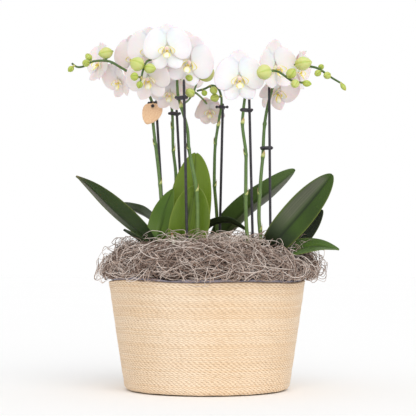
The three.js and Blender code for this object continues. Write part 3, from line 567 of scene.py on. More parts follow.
# A leaf's look: upper has the edge, the midrib and the dry tip that the underside hasn't.
def leafMaterial(name, upper, mottle, greens, veinPlace, veinMix, veinColour, bump, **inputs):
    material, tree, shader = newMaterial(name, **inputs)
    tone = plus(tree, fieldOf(tree, "tone"), times(tree, noiseOf(tree, 22, 3), mottle))
    # fine lengthwise veins follow the blade
    vein = noiseOf(tree, 1.0, 2, bladePlace(tree, *veinPlace))
    colour = mixOf(tree, rampOf(tree, vein, veinMix), rampOf(tree, tone, greens), veinColour)
    if upper:
        across = maths(tree, "ABSOLUTE", fieldOf(tree, "across"))
        along = fieldOf(tree, "along")
        colour = mixOf(tree, times(tree, maths(tree, "POWER", across, 26.0), 0.6), colour, "#8a9440")
        middle = maths(tree, "POWER", maths(tree, "SUBTRACT", 1.0, across), 60.0)
        colour = mixOf(tree, times(tree, middle, 0.5), colour, "#1d2e0d")
        tip = times(tree, fieldOf(tree, "dryTip"), maths(tree, "POWER", along, 50.0))
        colour = mixOf(tree, tip, colour, "#8a7a48")
    # painted highlight: a grey sheen along one edge, with the vein streaks darkened inside it
    shone = mixOf(tree, fieldOf(tree, "sheen"), colour, "#77726a")
    streaks = rampOf(tree, vein, [(0.4, "#ffffff"), (0.62, "#8c8c84")])
    lit = mixOf(tree, times(tree, fieldOf(tree, "sheen"), 0.8), shone, streaks, "MULTIPLY")
    # painted shade: a near-black line along a crease
    colourInto(tree, shader, mixOf(tree, fieldOf(tree, "fold"), lit, "#0f1a06"))
    bumpOf(tree, shader, vein, *bump)
    return material


leafFaces = [
    leafMaterial("waxyLeaf", True, 0.25,
                 [(0.1, "#141d08"), (0.35, "#26390c"), (0.7, "#466514"), (0.98, "#6c8424")],
                 (26.0, 2.0), [(0.35, "#000000"), (0.75, "#5a5a5a")], "#24390f", (0.35, 0.6),
                 Roughness=0.33, Specular_IOR_Level=0.3, Coat_Weight=0.06, Coat_Roughness=0.2),
    leafMaterial("leafUnderside", False, 0.3,
                 [(0.1, "#27351e"), (0.5, "#3d5223"), (0.8, "#587431"), (0.98, "#6f8636")],
                 (24.0, 1.0), [(0.4, "#000000"), (0.8, "#484848")], "#4c5c38", (0.3, 0.5),
                 Roughness=0.42, Specular_IOR_Level=0.35),
]


# The upper face takes the glossy material and the lower face the duller one.
def addLeaf(piece, leaf, seed, rows, columns, dryTip=0.0):
    surface = leafSurface(leaf, seed, rows)
    rings, fields = bladeRings(surface, rows, columns, leafLook["thickness"])
    before = len(piece["slots"])
    u, v = fields["along"], fields["across"]
    # painted highlight: a sheen band along one edge, from a given share of the way out to near the tip
    side, amount, start = leaf["sheen"]
    band = np.clip((v * side - 0.05) / 0.25, 0, 1) * np.clip((0.95 - v * side) / 0.12, 0, 1)
    sheen = amount * band * np.clip((u - start) / 0.2, 0, 1) * np.clip((0.97 - u) / 0.06, 0, 1)
    # painted shade along a crease, fading out towards the tip
    crease, width, depth = leaf["fold"]
    fold = depth * np.exp(-(((v - crease * (1 - u)) / width) ** 2)) * np.clip((0.98 - u) / 0.1, 0, 1)
    shade = 0.4 * np.clip((0.45 - u) / 0.3, 0, 1)
    addLofts(piece, rings, 0, tone=leaf["tone"] - shade, dryTip=dryTip, sheen=sheen, fold=fold, **fields)
    middle = surface(rowPlaces(rows)[:, None], np.zeros((1, 1)))[:, 0]
    frontOut = rings[:, columns // 2] - middle
    towards = frontOut[rows // 2][2] - 0.6 * frontOut[rows // 2][1]
    column = np.arange(2 * columns)
    onFront = column < columns
    lower = ~onFront if towards > 0 else onFront
    piece["slots"][before:] = np.tile(lower.astype(int), rows).tolist()


def makeLeaves():
    for seed, (name, leaf) in enumerate(leaves.items()):
        piece = newPiece()
        addLeaf(piece, leaf, seed, leafLook["rows"], leafLook["columns"], float(name == "leaf_left_1"))
        finishPiece(piece, name + "_blade", leafFaces, name)


crown = {"radius": 6.5, "foot": 62, "waist": 120, "top": 160, "sheaths": 5, "roots": 5, "rows": 30}


# The short stem with the folded feet of old leaves round it, its low leaf and a few thick roots.
def makeCrowns():
    for seed, (name, plant) in enumerate(plants.items()):
        rng = np.random.default_rng(60 + seed)
        at, lean = plant["at"], plant["lean"]
        head = [at[0] + lean[0], at[1] + lean[1], crown["top"]]
        line = smoothLine([[*at, crown["foot"]], [*at, crown["waist"]], head], crown["rows"])
        t = np.linspace(0, 1, crown["rows"])
        piece = newPiece()
        swell = crown["radius"] * (0.75 + 0.3 * np.sin(math.pi * t)) * (1 + 0.05 * np.sin(26 * t))
        addLofts(piece, tubeRings(line, swell, 16), 1, tone=0.55, along=0.3, across=0.4)
        addLeaf(piece, lowLeaves[name], 30 + seed, 40, 16)
        for k in range(crown["sheaths"]):
            turn = k * math.pi + rng.uniform(-0.4, 0.4)
            out = np.array([math.cos(turn), math.sin(turn), 0])
            foot = np.array([at[0], at[1], 126 + 6 * k])
            spine = [foot, foot + out * 6 + [0, 0, 12], foot + out * 11 + [0, 0, 26]]
            addLeaf(piece, leafRow(spine, [-out[1], out[0], 0], 8, 0.5, 0.5), 90 + k, 16, 10)
        for k in range(crown["roots"]):
            turn = rng.uniform(0, 2 * math.pi)
            reach = rng.uniform(14, 24)
            out = np.array([math.cos(turn), math.sin(turn), 0])
            start = np.array([at[0], at[1], rng.uniform(118, 140)])
            way = [start, start + out * reach * 0.6 + [0, 0, 3], start + out * reach + [0, 0, -18]]
            addLofts(piece, tubeRings(smoothLine(way, 12), 1.7, 8), 2, tone=0.5)
        root = speckled("paleRoot", 200, 3, [(0.3, "#a8a68c"), (0.7, "#cfd0bb")], Roughness=0.7)
        finishPiece(piece, "crown_" + name + "_stem", [*leafFaces, root], "crown_" + name)


makeLeaves()
makeCrowns()
print("leaves grown")

# blooms

# place of its middle, where it faces (degrees to the right, degrees up), roll, size, openness, its spike
# and, where the upper sepal is longer than on the others, that length
bloomRows = {
    "bloom_01": ([-46, -62, 398], [-4, -8], 0, 1, 0.95, 3),
    "bloom_02": ([-22, -47, 384], [8, -12], 18, 1.05, 0.9, 3, 31),
    "bloom_03": ([-68, -24, 402], [-13, -5], 3, 0.98, 0.93, 2),
    "bloom_04": ([-87, 15, 400], [-26, -4], -4, 0.96, 0.85, 1),
    "bloom_05": ([-38, -12, 404], [172, -6], 0, 1, 0.95, 3),
    "bloom_06": ([-68, -38, 366], [-16, -16], -6, 0.98, 0.85, 1),
    "bloom_07": ([-44, -14, 352], [-8, -18], 8, 0.8, 0.8, 2),
    "bloom_08": ([-32, 22, 373], [166, -8], 5, 1, 0.9, 2),
    "bloom_09": ([-129, 10, 391], [-54, 10], 4, 0.92, 0.8, 1),
    "bloom_10": ([-106, 8, 371], [-48, -26], 0, 0.86, 0.75, 1),
    "bloom_11": ([4, 13, 334], [-6, -14], 0, 0.72, 0.42, 3),
    "bloom_12": ([38, -46, 365], [2, -8], -2, 1.04, 0.95, 5, 33),
    "bloom_13": ([37, -10, 373], [176, -6], 4, 1.02, 0.92, 5),
    "bloom_14": ([82, -16, 382], [32, -2], -10, 1, 0.86, 6, 35),
    "bloom_15": ([86, 24, 360], [34, -34], 4, 1, 0.84, 6),
    "bloom_16": ([111, 32, 386], [70, -4], 4, 0.94, 0.7, 6),
}
bloomKeys = ("at", "facing", "roll", "size", "open", "spike", "dorsal")
blooms = {name: dict(zip(bloomKeys, row)) for name, row in bloomRows.items()}
bloomBack = 3.2  # from a flower's middle back to where its stalk ends
# painted shade: blooms further back get a warmer, darker petal colour; those listed as whitest, in front,
# get less of it
bloomLook = {
    "blush": 0.7,
    "whitest": {"bloom_01": 0.0, "bloom_12": 0.0, "bloom_02": 0.25, "bloom_03": 0.4, "bloom_04": 0.5,
                "bloom_14": 0.45},
}
tepalLook = {"rows": 22, "columns": 14, "thickness": 0.55, "foot": 3.4}
petal = {"long": 28.2, "half": 19.6, "forward": 1.1, "claw": 0.03, "skew": 0.98, "full": 0.38, "arch": 0.05}
sepal = {"long": 26.2, "half": 9.8, "forward": -1.1, "claw": 0.03, "skew": 0.97, "full": 0.5, "arch": 0.12}
tepals = [
    {**petal, "angle": 26, "forward": 1.7, "sway": 0.1},
    {**petal, "angle": 154, "forward": 0.7, "sway": -0.1},
    {**sepal, "angle": 90, "long": 28.7, "half": 12.8, "full": 0.42, "forward": -0.3, "sway": 0},
    {**sepal, "angle": 236, "sway": 0.1},
    {**sepal, "angle": 304, "sway": -0.1},
]


# The bloom's own directions: right of a viewer in front of it, up, and out of its face.
def bloomFrame(bloom):
    turn, tilt = np.radians(bloom["facing"])
    out = np.array([math.sin(turn) * math.cos(tilt), -math.cos(turn) * math.cos(tilt), math.sin(tilt)])
    right = unit(np.cross([0, 0, 1], out))
    up = np.cross(out, right)
    roll = math.radians(bloom["roll"])
    return np.array([
        right * math.cos(roll) - up * math.sin(roll),
        up * math.cos(roll) + right * math.sin(roll),
        out,
    ])


def tepalRings(tepal, opened, rng):
    cup = math.radians(70) * (1 - opened)
    direction = np.array([math.cos(math.radians(tepal["angle"])), math.sin(math.radians(tepal["angle"]))])
    phase = rng.uniform(0, 6.3, 2)
    waviness = rng.uniform(0.25, 0.7)
    curl = rng.uniform(-1.2, 0.6)

    def surface(u, v):
        bend = cup * (0.4 + 0.6 * u) * u
        reach = (tepal["long"] - tepalLook["foot"]) * (u + 0 * v)
        spread = v + tepal["sway"] * (1 - v**2) * np.sin(math.pi * u)
        share = (tepal["claw"] + (0.998 - tepal["claw"]) * u) ** tepal["skew"]
        half = tepal["half"] * np.sin(math.pi * share) ** tepal["full"]
        along = tepalLook["foot"] + reach * np.cos(bend)
        lift = (tepal["forward"] + reach * np.sin(bend) - tepal["arch"] * v**2 * tepal["half"] * u
                + 0.06 * tepal["long"] * u**2)
        lift = lift + waviness * np.sin(6 * u + phase[0] + 1.4 * np.sign(v)) * np.abs(v) ** 3 * u
        lift = lift + curl * np.clip(u - 0.7, 0, 1) ** 2 * 9
        lift = lift - 0.5 * np.exp(-((v / 0.12) ** 2)) * (1 - u) ** 0.5
        across = half * spread
        return np.stack([direction[0] * along - direction[1] * across,
                         direction[1] * along + direction[0] * across, lift + 0 * across], -1)

    return bladeRings(surface, tepalLook["rows"], tepalLook["columns"], tepalLook["thickness"])


# A side lobe of the lip: an upright spoon that curls in towards the column.
def sideLobeRings(side):
    def surface(u, v):
        sweep = 1.9 * u - 0.5
        radius = 7.3 + 1.3 * np.sin(math.pi * u)
        x = side * radius * np.cos(sweep * 0.75 + 0.1)
        y = -5.6 + 8.6 * u + 0 * v
        z = 3.0 + 3.6 * np.sin(math.pi * (0.15 + 0.75 * u))
        half = 3.9 * np.sin(math.pi * (0.07 + 0.925 * u)) ** 0.6
        return np.stack([x + side * 0.66 * half * v - side * 0.2 * half * v**2,
                         y + half * v * 0.1, z + 0.7 * half * v], -1)

    return bladeRings(surface, 16, 10, 0.6)


# The middle lobe: a narrow neck that widens into two shoulders and ends in a notch.
def middleLobeRings():
    def surface(u, v):
        half = 1.4 + 3.0 * np.sin(math.pi * np.clip((u - 0.22) / 0.86, 0, 1)) ** 0.8
        half = half * (1 - 0.25 * u**6)
        y = -2.4 - 7.4 * u**1.1 - 0.9 * v**2 * u
        z = 2.4 + 8.4 * np.sin(1.75 * u) - 0.32 * half * v**2 + 0.5 * np.exp(-((v / 0.3) ** 2)) * (1 - u)
        return np.stack([half * v + 0 * u, y + 0 * v, z + 0 * v], -1)

    return bladeRings(surface, 18, 14, 0.7)


def ballRings(centre, radii, rows=10, sides=12):
    t = np.linspace(0.02, 0.98, rows)[:, None] * math.pi
    angles = fullTurn(sides)
    shape = np.stack([np.sin(t) * np.cos(angles), np.sin(t) * np.sin(angles), np.cos(t) + 0 * angles], -1)
    return np.array(centre, float) + shape * np.array(radii, float)


def petalMaterial():
    material, tree, shader = newMaterial("whitePetal", Roughness=0.5, Subsurface_Weight=0.25,
                                         Subsurface_Scale=0.004, Sheen_Weight=0.15)
    across, along = fieldOf(tree, "across"), fieldOf(tree, "along")
    vein = noiseOf(tree, 1.6, 3, bladePlace(tree, 9.0, 1.5))
    edge = maths(tree, "MAXIMUM", maths(tree, "ABSOLUTE", across), along)
    # blush and painted shade: pinker and a touch darker towards the edges and the tip
    blush = rampOf(tree, plus(tree, maths(tree, "POWER", edge, 3.0), times(tree, vein, 0.25)),
                   [(0.15, "#faf6f8"), (1.0, "#f4e9ef")])
    foot = maths(tree, "POWER", maths(tree, "SUBTRACT", 1.0, along), 4.0)
    cream = mixOf(tree, times(tree, foot, fieldOf(tree, "green")), blush, "#dcd9a8")
    # painted shade: blooms further back are mixed towards a warm grey-pink
    rearShade = mixOf(tree, fieldOf(tree, "blush"), cream, "#f3e2e1")
    colourInto(tree, shader, mixOf(tree, times(tree, vein, 0.16), rearShade, "#e9dcdb"))
    bumpOf(tree, shader, vein, 0.22, 0.5)
    return material


def lipMaterial():
    material, tree, shader = newMaterial("yellowLip", Roughness=0.42, Subsurface_Weight=0.15,
                                         Subsurface_Scale=0.003)
    across, along = fieldOf(tree, "across"), fieldOf(tree, "along")
    marked = bladePlace(tree, 7.0, 2.0)
    patch = noiseOf(tree, 1.3, 3, marked)
    yellow = rampOf(tree, plus(tree, along, times(tree, patch, 0.5)),
                    [(0.2, "#f0d03e"), (0.55, "#f5e05c"), (0.95, "#f8ea9a"), (1.0, "#faf4d8")])
    margin = maths(tree, "POWER", maths(tree, "ABSOLUTE", across), 2.0)
    pale = rampOf(tree, plus(tree, margin, times(tree, patch, 0.6)),
                  [(0.55, "#fefcf8"), (0.8, "#faee86"), (1.0, "#f7e65c")])
    yellow = mixOf(tree, fieldOf(tree, "lobe"), yellow, pale)
    streak = rampOf(tree, noiseOf(tree, 1.9, 1, marked), [(0.6, "#000000"), (0.68, "#ffffff")])
    near = maths(tree, "SUBTRACT", 1.0, maths(tree, "MINIMUM", times(tree, along, 1.6), 1.0))
    strength = maths(tree, "SUBTRACT", 0.9, times(tree, fieldOf(tree, "lobe"), 0.45))
    marks = times(tree, times(tree, streak, near), strength)
    colourInto(tree, shader, mixOf(tree, marks, yellow, "#c65a92"))
    return material


def columnMaterial():
    material, tree, shader = newMaterial("flowerColumn", Roughness=0.42, Subsurface_Weight=0.2,
                                         Subsurface_Scale=0.003)
    colourInto(tree, shader, rampOf(tree, fieldOf(tree, "along"),
                                    [(0.0, "#efe9dc"), (0.7, "#f9f3f3"), (0.95, "#f4d6cc")]))
    return material


bloomMaterials = [petalMaterial(), lipMaterial(), columnMaterial()]


def makeBlooms():
    for seed, (name, bloom) in enumerate(blooms.items()):
        rng = np.random.default_rng(200 + seed)
        axes = bloomFrame(bloom)
        # painted shade for the blooms further back
        blush = bloomLook["whitest"].get(name, bloomLook["blush"])
        piece = newPiece()

        def place(rings):
            return np.array(bloom["at"], float) + bloom["size"] * (rings @ axes)

        for tepal in tepals:
            if tepal["angle"] == 90 and "dorsal" in bloom:
                tepal = {**tepal, "long": bloom["dorsal"]}
            rings, fields = tepalRings(tepal, bloom["open"], rng)
            green = 0.25 if tepal["forward"] > 0 else 0.5
            addLofts(piece, place(rings), 0, tone=rng.uniform(0, 9), green=green, blush=blush, **fields)
        addLofts(piece, place(ballRings([0, 0, -0.4], [4.2, 4.2, 2.9])), 0, along=0.15, green=1.0)
        for side in (-1, 1):
            rings, fields = sideLobeRings(side)
            addLofts(piece, place(rings), 1, tone=rng.uniform(0, 9), lobe=1.0, **fields)
            curl = np.linspace(0, 1, 14)
            turn = 0.4 + 4.2 * curl
            radius = 2.1 * (1 - 0.35 * curl)
            middle = np.array([side * 1.2, -10.6, 9.4])
            cirrus = middle + np.stack([side * (0.3 + 2.2 * curl), -radius * np.cos(turn) * 0.9 + 1.2,
                                        radius * np.sin(turn) * 0.9], -1)
            addLofts(piece, place(tubeRings(cirrus, 0.34 * (1.15 - curl), 6)), 1, along=0.95, tone=1.0)
            addLofts(piece, place(ballRings([side * 0.95, -2.0, 5.2], [0.9, 1.0, 1.9], 8, 8)), 1, along=0.12,
                     tone=rng.uniform(0, 9))
        rings, fields = middleLobeRings()
        addLofts(piece, place(rings), 1, tone=rng.uniform(0, 9), lobe=0.6, **fields)
        line = np.array([[0, 0.4, 0.2], [0, 0.7, 3], [0, 1.0, 6], [0, 0.7, 8.4]])
        t = np.linspace(0, 1, 14)
        stout = 1.8 + 0.75 * t**2 - 1.4 * np.clip(t - 0.86, 0, 1) / 0.14
        addLofts(piece, place(tubeRings(smoothLine(line, 14), stout, 12)), 2, along=t[:, None])
        finishPiece(piece, name + "_flower", bloomMaterials, name)


makeBlooms()
print("blooms opened")

# spikes

spikeLook = {
    "footRadius": 2.3,
    "tipRadius": 1.2,
    "pedicel": 1.1,
    "joint": 0.35,
    "bractLength": 10,
    "rows": {"stem": 170, "branch": 40, "stalk": 26, "bud": 22},
    "budColumns": 24,
}
# buds: middle, length and width, and where a bud doesn't point away from its stem, the way it points
spikes = {
    1: {
        "stem": [[-42, -27, 146], [-51, -12, 178], [-54, -8, 214], [-57, -3, 250], [-62, 1, 292],
            [-65, 3, 318], [-66, 4, 342], [-72, 2, 357], [-80, -6, 370], [-92, -13, 377], [-106, -18, 385],
            [-116, -20, 390], [-136, -26, 389], [-146, -28, 383], [-154, -30, 382], [-160, -32, 386]],
        "joints": [243, 292, 336],
        "buds": [[-121, -20, 400, 18, 14, -1, -0.3, -0.2], [-141, -22, 395, 12, 8],
            [-143, -34, 386, 12, 9], [-161, -33, 379, 9, 7]],
    },
    2: {
        "stem": [[-8, 51, 150], [-30, 34, 178], [-37, 22, 212], [-38, 14, 260], [-41, 11, 288],
            [-42, 8, 330], [-44, 8, 347], [-45, 7, 361], [-48, 4, 377], [-54, -2, 389], [-62, -8, 398]],
        "joints": [286, 313],
        "buds": [],
    },
    3: {
        "stem": [[-34, -36, 146], [-14, -49, 172], [-11, -51, 208], [-13, -51, 240], [-17, -50, 261],
            [-21, -49, 283], [-23, -48, 307], [-31, -45, 335], [-34, -42, 346], [-35, -36, 359],
            [-36, -31, 370], [-42, -30, 381], [-52, -38, 386], [-61, -50, 388], [-70, -58, 384],
            [-74, -61, 374], [-76, -62, 365]],
        "branch": [[-31, -45, 334], [-23, -40, 340], [-18, -37, 347], [-14, -36, 356], [-11, -36, 365]],
        "joints": [233, 283, 331],
        "buds": [[-81, -66, 380, 18, 17], [-66, -64, 375, 15, 12], [-84, -68, 365, 10, 10],
            [-78, -64, 356, 9, 8], [-20, -40, 350, 13, 11], [-21, -43, 367, 10, 8], [0, -31, 373, 21, 17]],
    },
    4: {
        "stem": [[2, 51, 150], [11, 38, 176], [12, 28, 205], [9, 12, 245], [9, 6, 264], [10, -3, 292],
            [15, -13, 325], [17, -16, 337], [17, -18, 348], [13, -20, 358], [6, -22, 361], [-2, -24, 357],
            [-12, -25, 354]],
        "joints": [243, 293, 326],
        "buds": [[8, -30, 354, 12, 9], [9, -24, 346, 12, 10], [-3, -28, 351, 8, 7]],
    },
    5: {
        "stem": [[56, -30, 146], [48, -29, 178], [46, -28, 208], [46, -28, 262], [46, -28, 280],
            [42, -28, 313], [43, -28, 330], [45, -28, 346], [47, -28, 357], [51, -29, 367], [59, -32, 374],
            [67, -38, 376], [76, -47, 375], [83, -53, 373], [90, -56, 368], [98, -58, 362],
            [110, -60, 359]],
        "joints": [230, 278, 314],
        "buds": [[66, -62, 371, 20, 18], [98, -60, 370, 14, 12], [102, -65, 357, 15, 10],
            [116, -61, 358, 11, 8]],
    },
    6: {
        "stem": [[63, -24, 148], [64, -15, 178], [62, -11, 203], [63, -8, 230], [65, -5, 257],
            [67, -2, 277], [69, 2, 312], [72, 5, 333], [76, 6, 350], [79, 6, 361], [83, 6, 373],
            [91, 3, 381], [104, -2, 385], [117, -8, 386], [126, -11, 385], [134, -14, 382], [147, -18, 372],
            [159, -22, 364]],
        "joints": [188, 231, 277, 316],
        "buds": [[115, -17, 388, 21, 17, 1, -0.2, 0.15], [137, -10, 385, 9, 7], [132, -19, 376, 10, 8],
            [143, -22, 373, 13, 9], [162, -24, 359, 11, 6]],
    },
}


def nearestPoint(lines, target):
    found = [line[np.linalg.norm(line - target, axis=1).argmin()] for line in lines]
    return min(found, key=lambda place: np.linalg.norm(place - target))


# A bract: a short sheath that wraps a stem just above a joint and runs out into a point.
def bractRings(line, at, radius, length, turn):
    step = np.linalg.norm(line[1] - line[0])
    index = int(np.linalg.norm(line - at, axis=1).argmin())
    last = min(index + max(int(length / step), 3), len(line) - 1)
    index = max(min(index, last - 3), 0)
    stretch = smoothLine(line[index : last + 1], 13)
    first, second = framesAlong(stretch)

    def surface(u, v):
        angle = turn + v * math.radians(125) * (1 - u) ** 0.8 + 0 * u
        wide = radius + 0.25 + 0.5 * u
        return (stretch[:, None] + first[:, None] * (wide * np.cos(angle))[..., None]
                + second[:, None] * (wide * np.sin(angle))[..., None])

    return bladeRings(surface, 12, 8, 0.4)


# A bud on its stalk, with the seams of its sepals.
def budRings(root, middle, long, wide):
    axis = unit(middle - root)
    start, end = middle - axis * 0.5 * long, middle + axis * 0.5 * long
    t = np.linspace(0, 1, spikeLook["rows"]["bud"])
    line = start + (end - start) * t[:, None]
    radii = wide / 2 * np.maximum(np.sin(math.pi * np.clip(t, 0.005, 0.992) ** 0.9), 0) ** 0.64
    angles = fullTurn(spikeLook["budColumns"])
    seam = 1 - 0.06 * np.exp(-((np.abs((angles * 3 / (2 * math.pi)) % 1 - 0.5) * 2 - 1) ** 2) / 0.02)
    rings = tubeRings(line, radii[:, None] * seam, len(angles))
    return rings, {"along": t[:, None], "seam": (1 - seam[None]) * 4}, start


def stemMaterial():
    material, tree, shader = newMaterial("glossyStem", Roughness=0.36, Specular_IOR_Level=0.5)
    tone = plus(tree, fieldOf(tree, "tone"), times(tree, noiseOf(tree, 150, 3), 0.3))
    colourInto(tree, shader, rampOf(tree, tone, [(0.1, "#3a5120"), (0.5, "#587539"), (0.95, "#93a556")]))
    bumpOf(tree, shader, noiseOf(tree, 500, 2), 0.15, 0.3)
    return material


def bractMaterial():
    material, tree, shader = newMaterial("dryBract", Roughness=0.55)
    along = plus(tree, fieldOf(tree, "along"), times(tree, noiseOf(tree, 300), 0.3))
    colourInto(tree, shader, rampOf(tree, along, [(0.2, "#9fb05c"), (0.6, "#ccce86"), (1.1, "#b79a62")]))
    return material


def budMaterial():
    material, tree, shader = newMaterial("greenBud", Roughness=0.4, Subsurface_Weight=0.15,
                                         Subsurface_Scale=0.004)
    ripe = rampOf(tree, fieldOf(tree, "along"), [(0.0, "#000000"), (0.3, "#808080"), (1.0, "#707070")])
    tone = plus(tree, fieldOf(tree, "tone"), ripe)
    tone = maths(tree, "SUBTRACT", tone, fieldOf(tree, "seam"))
    tone = plus(tree, tone, times(tree, noiseOf(tree, 60, 3), 0.25))
    greens = [(0.05, "#8aa032"), (0.3, "#b4c255"), (0.6, "#d3d88a"), (0.98, "#e9e8ba")]
    colourInto(tree, shader, rampOf(tree, tone, greens))
    bumpOf(tree, shader, noiseOf(tree, 400, 3), 0.12, 0.3)
    return material


stemMaterials = [stemMaterial(), bractMaterial(), budMaterial()]


def makeSpikes():
    rows = spikeLook["rows"]
    for number, spike in spikes.items():
        piece = newPiece()
        line = smoothLine(spike["stem"], rows["stem"])
        t = np.linspace(0, 1, rows["stem"])
        radii = spikeLook["footRadius"] + (spikeLook["tipRadius"] - spikeLook["footRadius"]) * t**1.6
        places = [line[np.abs(line[:120, 2] - height).argmin()] for height in spike["joints"]]
        for joint in places:
            radii = radii + spikeLook["joint"] * np.exp(-(np.linalg.norm(line - joint, axis=1) / 2.2) ** 2)
        lines = [line]
        addLofts(piece, tubeRings(line, radii, 12), 0, tone=(0.5 - 0.35 * t)[:, None])
        for k, joint in enumerate(places):
            index = int(np.linalg.norm(line - joint, axis=1).argmin())
            rings, fields = bractRings(line, joint, radii[index] - 0.2, spikeLook["bractLength"],
                                       1.2 + 2.6 * k)
            addLofts(piece, rings, 1, **fields)
        if "branch" in spike:
            branch = smoothLine(spike["branch"], rows["branch"])
            lines.append(branch)
            addLofts(piece, tubeRings(branch, 1.1, 10), 0, tone=0.3)
        roots = []
        for bloom in blooms.values():
            if bloom["spike"] != number:
                continue
            axes = bloomFrame(bloom)
            end = np.array(bloom["at"]) - axes[2] * (bloomBack * bloom["size"] - 1)
            start = nearestPoint(lines, end - axes[2] * 14)
            bend = np.linalg.norm(end - start) * 0.45
            handles = [start, start + (end - start) * 0.3 + [0, 0, bend * 0.2], end - axes[2] * bend, end]
            s = np.linspace(0, 1, rows["stalk"])[:, None]
            stalk = cubic(handles, s)
            thick = spikeLook["pedicel"] * (1.15 - 0.25 * s[:, 0] + 0.5 * s[:, 0] ** 6)
            addLofts(piece, tubeRings(stalk, thick, 10), 0, tone=0.35 + 0.6 * s)
            roots.append((start, unit(stalk[3] - stalk[0])))
        for x, y, z, long, wide, *aim in spike["buds"]:
            middle = np.array([x, y, z], float)
            root = nearestPoint(lines, middle)
            away = middle - unit(np.array(aim or middle - root, float))
            rings, along, foot = budRings(away, middle, long, wide)
            ripe = min(max((long - 8) / 12, 0), 1)
            addLofts(piece, rings, 2, tone=-0.05 + 0.32 * ripe, **along)
            stalk = root + (foot + unit(middle - root) * 1.5 - root) * np.linspace(0, 1, 10)[:, None]
            addLofts(piece, tubeRings(stalk, spikeLook["pedicel"], 10), 0, tone=0.45)
            roots.append((root, unit(middle - root)))
        for k, (root, direction) in enumerate(roots):
            sheath = np.array([root - direction * 0.4, root + direction * 2.2, root + direction * 4.4])
            rings, fields = bractRings(smoothLine(sheath, 12), sheath[0], 1.2, 4.5, 0.9 * k)
            addLofts(piece, rings, 1, **fields)
        finishPiece(piece, f"spike_{number}_spray", stemMaterials, f"spike_{number}")


makeSpikes()
print("spikes grown")

# stakes, clips and tag

stakes = {
    1: {"foot": [-44, -1, 66], "top": [-62, 9, 347]},
    2: {"foot": [-23, 46, 66], "top": [-37, 14, 337]},
    3: {"foot": [-21, -56, 66], "top": [-27, -52, 364]},
    4: {"foot": [13, 60, 66], "top": [19, -10, 341]},
    5: {"foot": [57, -14, 66], "top": [50, -24, 352]},
    6: {"foot": [76, -20, 66], "top": [75, 1, 363]},
}
clips = {
    1: {"spike": 1, "stake": 1, "height": 343},
    2: {"spike": 3, "stake": 3, "height": 343},
    3: {"spike": 2, "stake": 2, "height": 331},
    4: {"spike": 4, "stake": 4, "height": 336},
    5: {"spike": 5, "stake": 5, "height": 331},
    6: {"spike": 6, "stake": 6, "height": 288},
}
clipLook = {
    "span": 16,
    "height": 4.2,
    "ball": 1.8,
    "bar": 1.1,
    "barFront": 3.2,
    "hub": (3.6, 3.5),  # past the stems sideways, and to the front and back
    "stakeRadius": 1.6,
    "columns": 28,
    "barRows": 41,
    # heights as shares of half the hub, with how far the hub is drawn in there
    "levels": ((-1, 0.9), (-0.85, 0.35), (-0.55, 0.05), (0, 0.25), (0.55, 0.05), (0.85, 0.35), (1, 0.9)),
}


black = speckled("blackPlastic", 260, 4, [(0.3, "#211d22"), (0.7, "#39353c")], (700, 2, 0.12, 0.2),
                 Roughness=0.4)


def makeStakes():
    for number, stake in stakes.items():
        piece = newPiece()
        foot, top = np.array(stake["foot"], float), np.array(stake["top"], float)
        t = np.concatenate([np.linspace(0, 0.99, 20), [0.995, 0.998, 1.0]])
        radii = np.full(len(t), clipLook["stakeRadius"])
        radii[-3:] = [1.45, 1.2, 0.6]
        addLofts(piece, tubeRings(foot + (top - foot) * t[:, None], radii, 14))
        finishPiece(piece, f"stake_{number}_rod", [black], f"stake_{number}")


# The middle of a spike's stem at a height.
def stemAt(number, height):
    line = smoothLine(spikes[number]["stem"], 900)
    return line[np.argmax(line[:, 2] >= height)]


# A hub that closes round stem and stake, and a bar across its front with a ball at each end.
def makeClips():
    for number, clip in clips.items():
        onStem = stemAt(clip["spike"], clip["height"])
        foot, top = [np.array(stakes[clip["stake"]][end], float) for end in ("foot", "top")]
        onStake = foot + (top - foot) * (clip["height"] - foot[2]) / (top[2] - foot[2])
        middle = (onStem + onStake) / 2
        middle[2] = clip["height"]
        apart = (onStake - onStem)[:2]
        turn = math.atan2(apart[1], apart[0])
        angles = fullTurn(clipLook["columns"])
        wide, deep = np.linalg.norm(apart) / 2 + clipLook["hub"][0], clipLook["hub"][1]
        waist = 1 - 0.1 * np.cos(2 * angles) ** 8 * (np.abs(np.sin(angles)) > 0.7)
        rows = []
        for level, inset in clipLook["levels"]:
            x = (wide - inset) * np.cos(angles) * waist
            y = (deep - inset) * np.sin(angles) * waist
            rows.append(np.stack([middle[0] + x * math.cos(turn) - y * math.sin(turn),
                                  middle[1] + x * math.sin(turn) + y * math.cos(turn),
                                  middle[2] + level * clipLook["height"] / 2 + 0 * x], -1))
        piece = newPiece()
        addLofts(piece, np.array(rows))
        half = clipLook["span"] / 2
        x = np.linspace(-half, half, clipLook["barRows"])
        bar = middle + np.stack([x, 0 * x - clipLook["barFront"], 0 * x], -1)
        ball = np.sqrt(np.maximum(clipLook["ball"] ** 2 - (half - clipLook["ball"] - np.abs(x)) ** 2, 0))
        radii = np.maximum(np.where(np.abs(x) < half - clipLook["ball"], clipLook["bar"], 0.2), ball)
        addLofts(piece, tubeRings(bar, radii, 12))
        if number == 1:
            addPeg(piece, onStem)
        finishPiece(piece, f"clip_{number}_clasp", [black], f"clip_{number}")


tag = {"width": 25, "thickness": 0.7, "hole": 1.5, "drop": 3.2, "colour": "#fad4ad"}


def tagMiddle(onStem):
    return np.array([onStem[0] + 1, onStem[1] - 6.4, clips[1]["height"] - 4.6])


# The hook under the left clip that the card hangs on.
def addPeg(piece, onStem):
    hook = tagMiddle(onStem)
    way = [[hook[0], hook[1] + 3.2, clips[1]["height"]], [hook[0], hook[1] + 2.6, hook[2]],
           [hook[0], hook[1] - 1.8, hook[2] + 0.4]]
    addLofts(piece, tubeRings(smoothLine(way, 16), 0.9, 10))
    addLofts(piece, ballRings([hook[0], hook[1] - 2.2, hook[2] + 0.4], [2, 1.6, 2]))


